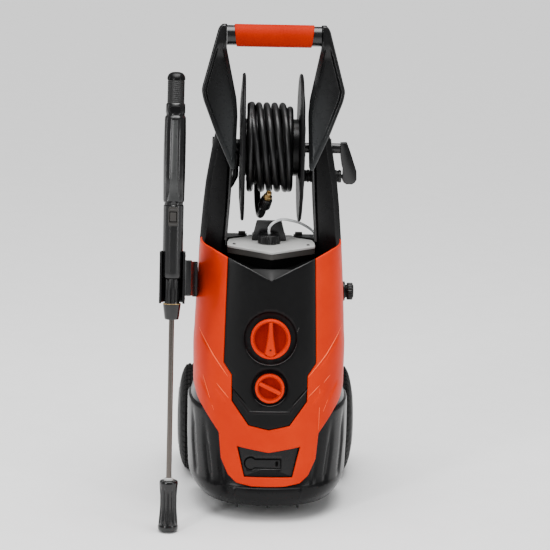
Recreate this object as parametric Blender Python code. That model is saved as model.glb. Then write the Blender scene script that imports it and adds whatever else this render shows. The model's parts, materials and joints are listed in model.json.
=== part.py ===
"""Upright electric pressure washer with a hose reel, two wheels and a side-held spray gun.

Metres, +Z up, front towards -Y. Every shape is given from the machine's centre line and the
floor; the whole machine hangs on one empty, moved so that the origin is the middle of its
footprint.
"""

import math

import bmesh
import bpy
from mathutils import Vector
from mathutils.geometry import delaunay_2d_cdt

GAP = 0.0003
SHIFT = (0.0165, -0.0080, 0.0)

# body skin, as functions of height
COVER_HALF_WIDTH = [(0.03, 0.135), (0.155, 0.1405), (0.235, 0.1445), (0.29, 0.1453),
                    (0.35, 0.1437), (0.42, 0.1405), (0.46, 0.138), (0.53, 0.1335)]
COVER_FRONT = [(0.03, -0.189), (0.10, -0.186), (0.20, -0.176), (0.32, -0.163), (0.46, -0.146),
               (0.53, -0.136)]
COVER_BACK = -0.0092
COVER_POWER = 3.0
COVER_WALL = 0.003
GIRTH = 0.19

# base moulding
BASE_BOTTOM = 0.030
BASE_TOP = 0.250
BASE_SIDE_END = 0.020
BASE_REAR = 0.185
BASE_REAR_HALF = 0.1255
BASE_POWER = 2.65
BASE_WALL = 0.003
FOOT_X = 0.075
FOOT_Y = -0.045
BASE_LEVELS = [(0.030, 0.130, -0.178), (0.036, 0.138, -0.184), (0.046, 0.146, -0.1885),
               (0.060, 0.152, -0.1885),
               (0.0665, 0.153, -0.187), (0.072, 0.1535, -0.1805), (0.13, 0.1555, -0.1745),
               (0.204, 0.1555, -0.165),
               (0.210, 0.1390, -0.163), (BASE_TOP, 0.1390, -0.160)]

# wheels
WHEEL_R = 0.107
WHEEL_Y = 0.170
WHEEL_INNER = 0.132
WHEEL_OUTER = 0.178
RIM_R = 0.074
AXLE_R = 0.0075

# reel
REEL_Y = 0.060
REEL_Z = 0.677
FLANGE_R = 0.1425
DRUM_R = 0.055
DRUM_HALF = 0.0515
SHAFT_R = 0.010
HOSE_R = 0.0065
COIL_R = 0.0875
COIL_X = (-0.0497, 0.0415)
CRANK_RADIUS = 0.0545
CRANK_X = 0.1512
GRIP_R = 0.0125
TOE_R = 0.0151

# columns and rear body
COLUMN_BOTTOM = 0.2525
COLUMN_TOP = 0.735
COLUMN_BACK = 0.045
BOSS_R = 0.019
WEB_HALF = 0.016
BUSH_BORE_R = 0.0148
COLUMN_LEVELS = [(COLUMN_BOTTOM, 0.090, 0.1445, -0.0085), (0.30, 0.090, 0.1450, -0.0085),
                 (0.404, 0.0885, 0.1405, -0.0085),
                 (0.504, 0.0862, 0.1363, -0.0085), (0.577, 0.0812, 0.1303, -0.004),
                 (0.617, 0.0792, 0.1259, -0.001),
                 (REEL_Z, 0.0770, 0.1158, 0.0062), (COLUMN_TOP, 0.0745, 0.1035, 0.0158)]
HOUSING_TOP = 0.486
HOUSING_BOTTOM = 0.217
HOUSING_HALF = 0.118
HOUSING_BACK = 0.1535
HOUSING_WALL = 0.003
GLAND_X = 0.045
GLAND_Z = 0.262

# handle
BLADE_THICK = 0.024
BAR_Z = 0.8945
BAR_Y = 0.0305
BAR_R = 0.019
SLEEVE_R = 0.0215

# spray gun, along its own axis from the nozzle's mouth
LANCE_FOOT = (-0.1852, -0.2430, 0.002)
LANCE_LEAN = math.radians(5.7)
LANCE_TILT = math.radians(0.28)
CLIP_FROM = 0.424
CLIP_TO = 0.519
ARM_Z = (0.4400, 0.5050)
ARM_DROP = 0.22
BARREL_R = 0.0187

# controls
MAIN_KNOB_Z = 0.3495
MAIN_KNOB_R = 0.0372
SMALL_KNOB_Z = 0.2575
SMALL_KNOB_R = 0.0275

BLACK = (0.022, 0.022, 0.024)
ORANGE = (0.90, 0.13, 0.012)
GREY = (0.42, 0.43, 0.43)
STEEL = (0.60, 0.60, 0.58)
BRASS = (0.62, 0.44, 0.18)


# ---------------------------------------------------------------- helpers

def clear():
    for ob in list(bpy.data.objects):
        bpy.data.objects.remove(ob, do_unlink=True)


def along(table, z):
    """Straight-line reading of a table of (height, value)."""
    if z <= table[0][0]:
        return table[0][1]
    for (z0, v0), (z1, v1) in zip(table, table[1:]):
        if z <= z1:
            return v0 + (v1 - v0) * (z - z0) / (z1 - z0)
    return table[-1][1]


def material(name, colour, rough, metal=0.0):
    mat = bpy.data.materials.get(name)
    if mat:
        return mat
    mat = bpy.data.materials.new(name)
    mat.use_nodes = True
    shader = mat.node_tree.nodes["Principled BSDF"]
    shader.inputs["Base Color"].default_value = (*colour, 1.0)
    shader.inputs["Roughness"].default_value = rough
    shader.inputs["Metallic"].default_value = metal
    mat.diffuse_color = (*colour, 1.0)
    return mat


LOOKS = {
    "black_plastic": (BLACK, 0.42, 0.0),
    "orange_plastic": (ORANGE, 0.35, 0.0),
    "grey_plastic": (GREY, 0.45, 0.0),
    "clear_tube": ((0.75, 0.77, 0.78), 0.15, 0.0),
    "rubber": ((0.018, 0.018, 0.018), 0.75, 0.0),
    "hose": ((0.020, 0.020, 0.021), 0.55, 0.0),
    "steel": (STEEL, 0.25, 1.0),
    "brass": (BRASS, 0.30, 1.0),
    "cast_aluminium": ((0.50, 0.51, 0.52), 0.45, 1.0),
    "painted_steel": ((0.10, 0.11, 0.12), 0.50, 0.6),
    "white_plastic": ((0.62, 0.62, 0.60), 0.45, 0.0),
}


def finish(name, bm, look, parent=None, smooth=35.0):
    """Turns a bmesh into the named object of one sub-part."""
    bmesh.ops.recalc_face_normals(bm, faces=bm.faces)
    mesh = bpy.data.meshes.new(name)
    bm.to_mesh(mesh)
    bm.free()
    if mesh.polygons and smooth:
        mesh.shade_smooth()
        mesh.set_sharp_from_angle(angle=math.radians(smooth))
    ob = bpy.data.objects.new(name, mesh)
    bpy.context.scene.collection.objects.link(ob)
    mesh.materials.append(material(look, *LOOKS[look]))
    ob.parent = parent
    return ob


def empty(name, location, parent, rotation=(0.0, 0.0, 0.0)):
    ob = bpy.data.objects.new(name, None)
    bpy.context.scene.collection.objects.link(ob)
    ob.location = location
    ob.rotation_euler = rotation
    ob.parent = parent
    return ob


def put_origin(ob, point):
    """Moves an object's origin onto a point of its parent's space, leaving its shape where it is."""
    for v in ob.data.vertices:
        v.co -= Vector(point)
    ob.location = point
    return ob


def boolean(ob, cutter, operation="DIFFERENCE"):
    cutter.hide_render = True
    cutter.display_type = "WIRE"
    mod = ob.modifiers.new(operation.lower(), "BOOLEAN")
    mod.operation = operation
    mod.solver = "EXACT"
    mod.object = cutter
    return mod


def bevel(ob, width, segments=1, angle=40.0):
    mod = ob.modifiers.new("edge", "BEVEL")
    mod.width = width
    mod.segments = segments
    mod.limit_method = "ANGLE"
    mod.angle_limit = math.radians(angle)
    return mod


def prism(name, outline, axis, low, high, look, parent=None, smooth=35.0):
    """A flat outline pushed along X, Y or Z. The outline is in the other two axes, in X, Y, Z order."""
    bm = bmesh.new()
    order = {"X": (2, 0, 1), "Y": (0, 2, 1), "Z": (0, 1, 2)}[axis]
    rings = []
    for level in (low, high):
        ring = []
        for a, b in outline:
            values = (a, b, level)
            ring.append(bm.verts.new([values[order[i]] for i in range(3)]))
        rings.append(ring)
    count = len(outline)
    for i in range(count):
        j = (i + 1) % count
        bm.faces.new((rings[0][i], rings[0][j], rings[1][j], rings[1][i]))
    bm.faces.new(rings[0])
    bm.faces.new(rings[1])
    return finish(name, bm, look, parent, smooth)


def box(name, low, high, look, parent=None):
    outline = [(low[0], low[1]), (high[0], low[1]), (high[0], high[1]), (low[0], high[1])]
    return prism(name, outline, "Z", low[2], high[2], look, parent)


def loft(name, rings, look, parent=None, smooth=35.0):
    """Skins a row of point loops and caps the two ends."""
    bm = bmesh.new()
    rows = [[bm.verts.new(p) for p in ring] for ring in rings]
    for a, b in zip(rows, rows[1:]):
        for i in range(len(a)):
            j = (i + 1) % len(a)
            bm.faces.new((a[i], a[j], b[j], b[i]))
    bm.faces.new(rows[0])
    bm.faces.new(rows[-1])
    return finish(name, bm, look, parent, smooth)


def turned(name, profile, segments, look, parent=None, axis="Z", smooth=35.0):
    """Turns a closed (radius, height) outline about its axis; a radius of 0 is a point on the axis."""
    bm = bmesh.new()
    columns = []
    poles = {}
    for k in range(segments):
        turn = 2.0 * math.pi * k / segments
        column = []
        for i, (r, h) in enumerate(profile):
            if r < 1e-7:
                if i not in poles:
                    poles[i] = bm.verts.new((0.0, 0.0, h))
                column.append(poles[i])
            else:
                column.append(bm.verts.new((r * math.cos(turn), r * math.sin(turn), h)))
        columns.append(column)
    count = len(profile)
    for k in range(segments):
        a = columns[k]
        b = columns[(k + 1) % segments]
        for i in range(count):
            j = (i + 1) % count
            corners = []
            for v in (a[i], a[j], b[j], b[i]):
                if v not in corners:
                    corners.append(v)
            if len(corners) > 2:
                bm.faces.new(corners)
    if axis == "X":
        turn_verts(bm, lambda p: (p.z, p.x, p.y))
    if axis == "Y":
        turn_verts(bm, lambda p: (p.y, p.z, p.x))
    return finish(name, bm, look, parent, smooth)


def rod(name, radius, low, high, segments, look, parent=None, axis="Z"):
    """A plain round bar along an axis."""
    return turned(name, [(0.0, low), (radius, low), (radius, high), (0.0, high)], segments, look, parent,
                  axis)


def turn_verts(bm, rule):
    for v in bm.verts:
        v.co = Vector(rule(v.co.copy()))


def smooth_route(points, spacing):
    """Points a fixed distance apart on the Catmull-Rom curve through a route's own points."""
    pts = [Vector(p) for p in points]
    pts = [pts[0] * 2 - pts[1]] + pts + [pts[-1] * 2 - pts[-2]]
    fine = []
    for i in range(1, len(pts) - 2):
        a, b, c, d = pts[i - 1:i + 3]
        for k in range(24):
            t = k / 24.0
            fine.append(0.5 * ((2 * b) + (c - a) * t + (2 * a - 5 * b + 4 * c - d) * t ** 2
                               + (3 * b - a - 3 * c + d) * t ** 3))
    fine.append(pts[-2])
    lengths = [0.0]
    for p, q in zip(fine, fine[1:]):
        lengths.append(lengths[-1] + (q - p).length)
    count = max(2, round(lengths[-1] / spacing))
    result = []
    i = 0
    for k in range(count + 1):
        want = lengths[-1] * k / count
        while i < len(fine) - 2 and lengths[i + 1] < want:
            i += 1
        step = lengths[i + 1] - lengths[i]
        result.append(fine[i].lerp(fine[i + 1], (want - lengths[i]) / step))
    return result


def tube(name, points, radius, spacing, look, parent=None, resolution=2):
    curve = bpy.data.curves.new(name, "CURVE")
    curve.dimensions = "3D"
    curve.bevel_depth = radius
    curve.bevel_resolution = resolution
    curve.use_fill_caps = True
    route = smooth_route(points, spacing)
    spline = curve.splines.new("POLY")
    spline.points.add(len(route) - 1)
    for point, p in zip(spline.points, route):
        point.co = (*p, 1.0)
    curve.materials.append(material(look, *LOOKS[look]))
    ob = bpy.data.objects.new(name, curve)
    bpy.context.scene.collection.objects.link(ob)
    ob.parent = parent
    return ob


def mirrored(points):
    """Completes a right-hand half outline (centre, ..., centre) with its left half."""
    left = [(-x, z) for x, z in reversed(points) if abs(x) > 1e-9]
    return points + left


# ---------------------------------------------------------------- body skin

def skin_point(u, z, depth=0.0):
    """A point of the cover's skin: u runs -1..1 across, from side to side; depth is into the body."""
    half = along(COVER_HALF_WIDTH, z)
    front = along(COVER_FRONT, z)
    reach = COVER_BACK - front
    turn = abs(u) * math.pi / 2.0
    s = math.sin(turn)
    c = max(math.cos(turn), 0.0)
    x = math.copysign(half * s ** (2.0 / COVER_POWER), u)
    y = front + reach * (1.0 - c ** (2.0 / COVER_POWER))
    nx = math.copysign(s ** (2.0 - 2.0 / COVER_POWER) / half, u)
    ny = -(c ** (2.0 - 2.0 / COVER_POWER)) / reach
    normal = Vector((nx, ny, 0.0)).normalized()
    rise = (along(COVER_FRONT, z + 0.01) - along(COVER_FRONT, z - 0.01)) / 0.02
    normal = Vector((normal.x, normal.y, -rise * normal.y * c)).normalized()
    return Vector((x, y, z)) - normal * depth


def skin_u(x, z):
    """The place across the skin where it is x from the centre line."""
    part = min(abs(x) / along(COVER_HALF_WIDTH, z), 1.0)
    return math.copysign(math.asin(part ** (COVER_POWER / 2.0)) * 2.0 / math.pi, x)


def split_line(points, step):
    """Adds points along a closed outline so that no edge is longer than step."""
    result = []
    for a, b in zip(points, points[1:] + points[:1]):
        count = max(1, math.ceil((Vector(b) - Vector(a)).length / step))
        for k in range(count):
            result.append(tuple(Vector(a).lerp(Vector(b), k / count)))
    return result


def inside(point, outline):
    x, y = point
    hit = False
    for (x0, y0), (x1, y1) in zip(outline, outline[1:] + outline[:1]):
        if (y0 > y) != (y1 > y) and x < x0 + (x1 - x0) * (y - y0) / (y1 - y0):
            hit = not hit
    return hit


def edge_distance(point, outline):
    p = Vector(point)
    best = 1.0
    for a, b in zip(outline, outline[1:] + outline[:1]):
        a = Vector(a)
        b = Vector(b)
        t = max(0.0, min(1.0, (p - a).dot(b - a) / (b - a).length_squared))
        best = min(best, (p - a.lerp(b, t)).length)
    return best


def skin_piece(name, outline, holes, depth, wall, step, look, parent):
    """A plate that follows the body's skin, cut to an outline of (x, height) points."""
    loops = []
    for loop in [outline] + holes:
        flat = [(skin_u(x, z) * GIRTH, z) for x, z in split_line(loop, step * 0.5)]
        loops.append(split_line(flat, step))
    points = []
    edges = []
    for loop in loops:
        first = len(points)
        points += loop
        edges += [(first + i, first + (i + 1) % len(loop)) for i in range(len(loop))]
    lows = [min(p[i] for p in loops[0]) for i in (0, 1)]
    highs = [max(p[i] for p in loops[0]) for i in (0, 1)]
    across = round((highs[0] - lows[0]) / step)
    upward = round((highs[1] - lows[1]) / step)
    for i in range(1, across):
        for j in range(1, upward):
            p = (lows[0] + (highs[0] - lows[0]) * i / across, lows[1] + (highs[1] - lows[1]) * j / upward)
            if inside(p, loops[0]) and not any(inside(p, hole) for hole in loops[1:]):
                if min(edge_distance(p, loop) for loop in loops) > step * 0.45:
                    points.append(p)
    verts, _, faces, _, _, _ = delaunay_2d_cdt([Vector(p) for p in points], edges, [], 0, 1e-7)
    bm = bmesh.new()
    outer = [bm.verts.new(skin_point(p.x / GIRTH, p.y, depth)) for p in verts]
    inner = [bm.verts.new(skin_point(p.x / GIRTH, p.y, depth + wall)) for p in verts]
    used = {}
    for face in faces:
        centre = sum((verts[i] for i in face), Vector((0.0, 0.0))) / 3.0
        if not inside(centre, loops[0]) or any(inside(centre, hole) for hole in loops[1:]):
            continue
        bm.faces.new([outer[i] for i in face])
        bm.faces.new([inner[i] for i in reversed(face)])
        for a, b in ((face[0], face[1]), (face[1], face[2]), (face[2], face[0])):
            used[(a, b)] = True
    for a, b in used:
        if (b, a) not in used:
            bm.faces.new((outer[b], outer[a], inner[a], inner[b]))
    bmesh.ops.delete(bm, geom=[v for v in bm.verts if not v.link_faces], context="VERTS")
    return finish(name, bm, look, parent, 30.0)


# outlines on the skin, right-hand half, (x, height)
PANEL_SIDE = [(0.0, 0.1770), (0.0385, 0.1855), (0.0712, 0.2300), (0.0715, 0.2790), (0.0872, 0.3010),
              (0.0825, 0.4965)]
COVER_SIDE = [(0.0990, 0.5040), (0.1150, 0.5100), (0.1333, 0.5135)]
COVER_FOOT = [(0.1440, 0.2400), (0.1360, 0.2210), (0.0945, 0.1680), (0.0900, 0.1200), (0.0760, 0.0900),
              (0.0600, 0.0760), (0.0300, 0.0700), (0.0, 0.0695)]
WINDOW = [(0.0, 0.1345), (0.0595, 0.1455), (0.0455, 0.0880), (0.0, 0.0878)]
PANEL_TOP = 0.4560


def cover_outline():
    """Outline of the orange cover in skin space: down its side edges, u is exactly 1."""
    side = [(along(COVER_HALF_WIDTH, z), z) for z in (0.5140, 0.4600, 0.4200, 0.3500, 0.2900, 0.2460)]
    return mirrored(PANEL_SIDE + COVER_SIDE + side + COVER_FOOT)


def front_cover(parent):
    skin_piece("front_cover", cover_outline(), [mirrored(WINDOW)], 0.0, COVER_WALL, 0.024,
                      "orange_plastic", parent)


def control_panel(parent):
    seam = 0.0007
    right = [(0.0, PANEL_SIDE[0][1] + seam)]
    right += [(x - seam, z + seam * 0.6) for x, z in PANEL_SIDE[1:-1]]
    right += [(PANEL_SIDE[-1][0] - seam, PANEL_SIDE[-1][1]), (0.0400, 0.4775), (0.0, PANEL_TOP)]
    panel = skin_piece("control_panel", mirrored(right), [], 0.0012, COVER_WALL, 0.024, "black_plastic",
                       parent)
    for name, z in (("main", MAIN_KNOB_Z), ("small", SMALL_KNOB_Z)):
        hole = rod(f"cut_{name}_hole", 0.0065, -0.03, 0.03, 16, "black_plastic", parent)
        seat_on_panel(hole, z)
        boolean(panel, hole)


def panel_tilt(z):
    return math.atan((along(COVER_FRONT, z + 0.03) - along(COVER_FRONT, z - 0.03)) / 0.06)


def seat_on_panel(ob, z):
    """Stands an object on the panel's middle line, its Z axis square to the panel."""
    ob.location = skin_point(0.0, z)
    ob.rotation_euler = (math.pi / 2.0 - panel_tilt(z), 0.0, 0.0)
    return ob


# ---------------------------------------------------------------- base and body

def base_ring(z, half, front, inset):
    """One level of the base: a rounded front half, then a narrower rear between the wheels."""
    half -= inset
    front += inset
    reach = BASE_SIDE_END - front
    ring = []
    for k in range(-10, 11):
        turn = abs(k) / 10.0 * math.pi / 2.0
        x = math.copysign(half * math.sin(turn) ** (2.0 / BASE_POWER), k)
        y = front + reach * (1.0 - max(math.cos(turn), 0.0) ** (2.0 / BASE_POWER))
        ring.append((x, y, z))
    rear = BASE_REAR_HALF - inset
    back = BASE_REAR - inset
    side_end = BASE_SIDE_END + 0.008 - inset
    right = [(half, side_end), (half - 0.004, side_end + 0.004), (rear, side_end + 0.004), (rear, 0.10),
             (rear, back - 0.025), (rear - 0.008, back - 0.008), (rear - 0.025, back)]
    ring += [(x, y, z) for x, y in right]
    ring += [(-x, y, z) for x, y in reversed(right)]
    return ring


def base_tub(parent):
    rings = [base_ring(z, half, front, 0.0) for z, half, front in BASE_LEVELS]
    rings += [base_ring(max(z, BASE_BOTTOM + BASE_WALL + 0.001), half, front, BASE_WALL)
              for z, half, front in reversed(BASE_LEVELS[1:])]
    tub = loft("base_tub", rings, "black_plastic", parent, 30.0)
    bore = rod("cut_axle_bore", AXLE_R + GAP, -0.2, 0.2, 20, "steel", parent, "X")
    bore.location = (0.0, WHEEL_Y, WHEEL_R)
    boolean(tub, bore)


def foot(name, x, parent):
    ob = turned(name, [(0.0, 0.0), (0.011, 0.0), (0.013, 0.002), (0.0145, BASE_BOTTOM - GAP),
                       (0.0, BASE_BOTTOM - GAP)], 16, "rubber", parent)
    ob.location = (x, FOOT_Y, 0.0)


def rear_housing(parent):
    """Back cover: a wall bent round the rear with a roof, open at the front and the bottom."""
    def wall(inset):
        half = HOUSING_HALF - inset
        back = HOUSING_BACK - inset
        return [(half, 0.048), (half, back - 0.040), (half - 0.006, back - 0.018),
                (half - 0.022, back - 0.004),
                (half - 0.045, back)]
    outer = wall(0.0)
    inner = wall(HOUSING_WALL)
    outline = outer + [(-x, y) for x, y in reversed(outer)] + inner_return(inner)
    body = prism("rear_housing", outline, "Z", HOUSING_BOTTOM, HOUSING_TOP - 0.001, "black_plastic",
                 parent)
    roof_outline = outer + [(-x, y) for x, y in reversed(outer)]
    roof = prism("join_roof", roof_outline, "Z", HOUSING_TOP - 0.004, HOUSING_TOP, "black_plastic",
                 parent)
    boolean(body, roof, "UNION")
    for name, x, y, r in (("supply", SUPPLY_DROP[0], SUPPLY_DROP[1], 0.0085),
                          ("suction", 0.0885, 0.0615, 0.0048)):
        hole = rod(f"cut_{name}_hole", r, 0.48, 0.53, 14, "black_plastic", parent)
        hole.location = (x, y, 0.0)
        boolean(body, hole)
    gland = rod("cut_gland_hole", 0.0083, 0.10, 0.18, 16, "black_plastic", parent, "Y")
    gland.location = (GLAND_X, 0.0, GLAND_Z)
    boolean(body, gland)


def inner_return(inner):
    """The inner side of a bent wall, from its left end back to its right end."""
    return [(-x, y) for x, y in inner] + list(reversed(inner))


def column_section(z, low_x, high_x, front, back, side):
    corner = 0.007
    pts = [(low_x + corner, front), (high_x - corner * 1.6, front), (high_x, front + corner * 1.4),
           (high_x, back - corner), (high_x - corner, back), (low_x + corner, back),
           (low_x, back - corner),
           (low_x, front + corner)]
    return [(side * x, y, z) for x, y in pts]


def column(name, side, parent):
    """Side column, with the bearing boss for the reel behind it."""
    rings = [column_section(z, a, b, front, COLUMN_BACK, side) for z, a, b, front in COLUMN_LEVELS]
    ob = loft(name, rings, "black_plastic", parent, 30.0)
    _, low_x, high_x, _ = COLUMN_LEVELS[6]
    ends = (low_x, high_x - 0.001)
    boss = rod(f"join_{name}_boss", BOSS_R, ends[0], ends[1], 20, "black_plastic", parent, "X")
    boss.location = (0.0, REEL_Y, REEL_Z)
    boss.rotation_euler = (0.0, 0.0, 0.0 if side > 0 else math.pi)
    web_x = sorted((side * (low_x + 0.001), side * (high_x - 0.002)))
    web = box(f"join_{name}_web", (web_x[0], COLUMN_BACK - 0.010, REEL_Z - WEB_HALF),
              (web_x[1], REEL_Y, REEL_Z + WEB_HALF), "black_plastic", parent)
    boolean(ob, boss, "UNION")
    boolean(ob, web, "UNION")
    bore = rod(f"cut_{name}_bore", BUSH_BORE_R, -0.15, 0.15, 24, "black_plastic", parent, "X")
    bore.location = (0.0, REEL_Y, REEL_Z)
    boolean(ob, bore)
    if side > 0:
        port = rod("cut_inlet_bore", 0.0088, 0.05, 0.2, 18, "black_plastic", parent, "X")
        port.location = (0.0, INLET_Y, INLET_Z)
        boolean(ob, port)


# ---------------------------------------------------------------- tank

TANK_TOP = 0.5085
TANK_BACK = 0.043
CAP_X = -0.004
CAP_Y = -0.046
NECK_R = 0.017


def detergent_tank(parent):
    """Blow-moulded tank: a wide roof with a pointed front over a narrower body, hollow, with a filler neck."""
    roof = mirrored([(0.0, -0.112), (0.083, -0.070), (0.083, TANK_BACK - 0.006), (0.077, TANK_BACK),
                          (0.0, TANK_BACK)])
    body = mirrored([(0.0, -0.096), (0.052, -0.075), (0.060, -0.060), (0.060, TANK_BACK - 0.010),
                          (0.050, TANK_BACK), (0.0, TANK_BACK)])
    tank = prism("detergent_tank", roof, "Z", TANK_TOP - 0.019, TANK_TOP, "grey_plastic", parent)
    lower = prism("join_tank_body", body, "Z", 0.335, TANK_TOP - 0.010, "grey_plastic", parent)
    boolean(tank, lower, "UNION")
    neck = rod("join_tank_neck", NECK_R, TANK_TOP - 0.004, TANK_TOP + 0.012, 24, "grey_plastic", parent)
    neck.location = (CAP_X, CAP_Y, 0.0)
    boolean(tank, neck, "UNION")
    hollow = prism("cut_tank_hollow", shrunk(body, 0.003), "Z", 0.338, TANK_TOP - 0.003, "grey_plastic",
                   parent)
    boolean(tank, hollow)
    bore = rod("cut_tank_bore", NECK_R - 0.0025, 0.47, 0.54, 24, "grey_plastic", parent)
    bore.location = (CAP_X, CAP_Y, 0.0)
    boolean(tank, bore)


def shrunk(points, wall):
    """A plan outline drawn in towards its middle by roughly one wall."""
    ys = [y for _, y in points]
    middle = (min(ys) + max(ys)) / 2.0
    result = []
    for x, y in points:
        nx = x - math.copysign(wall, x) if abs(x) > 1e-9 else 0.0
        result.append((nx, y - math.copysign(wall, y - middle)))
    return result


def tank_cap(parent):
    low = TANK_TOP + 0.0015
    top = TANK_TOP + 0.0175
    cap = turned("tank_cap", [(NECK_R + GAP, low), (0.0215, low), (0.0215, top - 0.003), (0.0195, top),
                              (0.0, top),
                              (0.0, TANK_TOP + 0.012 + GAP), (NECK_R + GAP, TANK_TOP + 0.012 + GAP)], 28,
                 "black_plastic", parent)
    cap.location = (CAP_X, CAP_Y, 0.0)


# ---------------------------------------------------------------- wheels

def tyre_profile():
    w = WHEEL_OUTER - WHEEL_INNER
    return [(RIM_R, -w / 2 + 0.003), (0.098, -w / 2), (0.1045, -w / 2 + 0.007), (WHEEL_R, -w / 2 + 0.017),
            (WHEEL_R, w / 2 - 0.0215), (0.1040, w / 2 - 0.0170), (0.0978, w / 2 - 0.0125),
            (0.0890, w / 2 - 0.0088), (RIM_R, w / 2 - 0.0052)]


def hub_profile():
    w = WHEEL_OUTER - WHEEL_INNER
    r = RIM_R - GAP
    bore = AXLE_R + GAP
    return [(bore, -w / 2 + 0.001), (0.018, -w / 2 + 0.001), (0.018, w / 2 - 0.0045),
            (0.054, w / 2 - 0.0060), (r - 0.005, w / 2 - 0.0110), (r - 0.004, -w / 2 + 0.005),
            (r, -w / 2 + 0.005), (r, w / 2 - 0.0052), (0.058, w / 2 - 0.0019), (0.030, w / 2),
            (0.0, w / 2), (0.0, w / 2 - 0.0105), (bore, w / 2 - 0.0105)]


def wheel(side, parent):
    word = "right" if side > 0 else "left"
    middle = side * (WHEEL_INNER + WHEEL_OUTER) / 2.0
    hang = empty(f"wheel_{word}_axis", (middle, WHEEL_Y, WHEEL_R), parent,
                 (0.0, 0.0, 0.0 if side > 0 else math.pi))
    turned(f"tyre_{word}", tyre_profile(), 36, "rubber", hang, "X")
    turned(f"hub_{word}", hub_profile(), 24, "black_plastic", hang, "X")


def wheel_axle(parent):
    half = (WHEEL_INNER + WHEEL_OUTER) / 2.0 + 0.012
    axle = rod("wheel_axle", AXLE_R, -half, half, 16, "steel", parent, "X")
    axle.location = (0.0, WHEEL_Y, WHEEL_R)


# ---------------------------------------------------------------- inner works

MOTOR = (0.0, 0.036)


def motor(parent):
    can = turned("motor_can", [(0.012, 0.165), (0.050, 0.165), (0.056, 0.171), (0.056, 0.300),
                               (0.053, 0.300),
                               (0.053, 0.175), (0.012, 0.175)], 20, "painted_steel", parent)
    can.location = (*MOTOR, 0.0)
    rotor = turned("motor_rotor", [(0.0, 0.1585), (0.006, 0.1585), (0.006, 0.182), (0.042, 0.182),
                                   (0.042, 0.272),
                                   (0.006, 0.272), (0.006, 0.326), (0.0, 0.326)], 16, "steel", parent)
    rotor.location = (*MOTOR, 0.0)
    fan = turned("motor_fan", [(0.006 + GAP, 0.302), (0.014, 0.302), (0.014, 0.306), (0.050, 0.306),
                               (0.050, 0.318), (0.047, 0.318), (0.047, 0.309), (0.014, 0.309),
                               (0.014, 0.320),
                               (0.006 + GAP, 0.320)], 16, "white_plastic", parent)
    fan.location = (*MOTOR, 0.0)


def pump_body(parent):
    x, y = MOTOR
    plan = [(-0.030, -0.040), (0.030, -0.040), (0.042, -0.028), (0.042, 0.028), (0.030, 0.040),
            (-0.030, 0.040),
            (-0.042, 0.028), (-0.042, -0.028)]
    prism("pump_body", [(x + a, y + b) for a, b in plan], "Z", 0.042, 0.158, "cast_aluminium", parent)


def capacitor(parent):
    ob = turned("capacitor", [(0.0, 0.212), (0.018, 0.212), (0.019, 0.214), (0.019, 0.276),
                              (0.018, 0.278),
                              (0.0, 0.278)], 18, "white_plastic", parent)
    ob.location = (-0.066, -0.066, 0.0)


def switch_box(parent):
    ob = box("switch_box", (-0.024, -0.024, -0.042), (0.024, 0.024, -0.0165), "white_plastic", parent)
    seat_on_panel(ob, MAIN_KNOB_Z)


def dosing_valve(parent):
    ob = turned("dosing_valve", [(0.0, -0.046), (0.008, -0.046), (0.008, -0.036), (0.015, -0.036),
                                 (0.015, -0.0165),
                                 (0.0, -0.0165)], 18, "brass", parent)
    seat_on_panel(ob, SMALL_KNOB_Z)


# ---------------------------------------------------------------- inlet, hoses, gland

INLET_Y = 0.018
INLET_Z = 0.404
SUPPLY_DROP = (-0.1020, 0.0718)


def inlet(parent):
    body = turned("inlet_body", [(0.0055, 0.0660), (0.0083, 0.0660), (0.0083, 0.1420), (0.0190, 0.1420),
                                 (0.0190, 0.1460), (0.0125, 0.1475), (0.0125, 0.1630), (0.0055, 0.1630)],
                                 22,
                  "black_plastic", parent, "X")
    body.location = (0.0, INLET_Y, INLET_Z)
    elbow = rod("join_inlet_elbow", 0.0065, -0.0200, -0.0065, 14, "black_plastic", parent)
    elbow.location = (0.0745, INLET_Y, INLET_Z)
    boolean(body, elbow, "UNION")
    nut = turned("inlet_nut", [(0.0125 + GAP, 0.1500), (0.0155, 0.1500), (0.0168, 0.1520),
                               (0.0168, 0.1600),
                               (0.0160, 0.1615), (0.0125 + GAP, 0.1615)], 24, "black_plastic", parent,
                               "X")
    nut.location = (0.0, INLET_Y, INLET_Z)


def hoses(parent):
    tube("inlet_hose", [(0.0745, INLET_Y, INLET_Z - 0.0203), (0.0745, INLET_Y, 0.350),
                        (0.0735, 0.0200, 0.260),
                        (0.0745, 0.0260, 0.180), (0.0740, 0.0340, 0.125), (0.0660, 0.0360, 0.0990),
                        (0.0560, 0.0360, 0.0960), (0.0426, 0.0360, 0.0960)], 0.0055, 0.0125, "hose",
                        parent)
    x, y = SUPPLY_DROP
    tube("supply_hose", [(SWIVEL_X, REEL_Y, REEL_Z - 0.0383), (SWIVEL_X, REEL_Y, 0.6210),
                         (-0.0780, 0.0630, 0.6040), (-0.0890, 0.0665, 0.5880),
                         (-0.0980, 0.0690, 0.5680), (x, y, 0.5350),
                         (x, y, 0.4750), (-0.0980, 0.0800, 0.4200), (-0.0860, 0.0900, 0.3500),
                         (-0.0780, 0.0920, 0.2800), (-0.0755, 0.0860, 0.2000), (-0.0720, 0.0600, 0.135), (-0.0660, 0.0400, 0.1060),
                         (-0.0560, 0.0360, 0.1040), (-0.0426, 0.0360, 0.1040)], HOSE_R, 0.0175, "hose",
                         parent)
    tube("detergent_tube", SUCTION_ROUTE, SUCTION_R, 0.0150, "clear_tube", parent)


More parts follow.
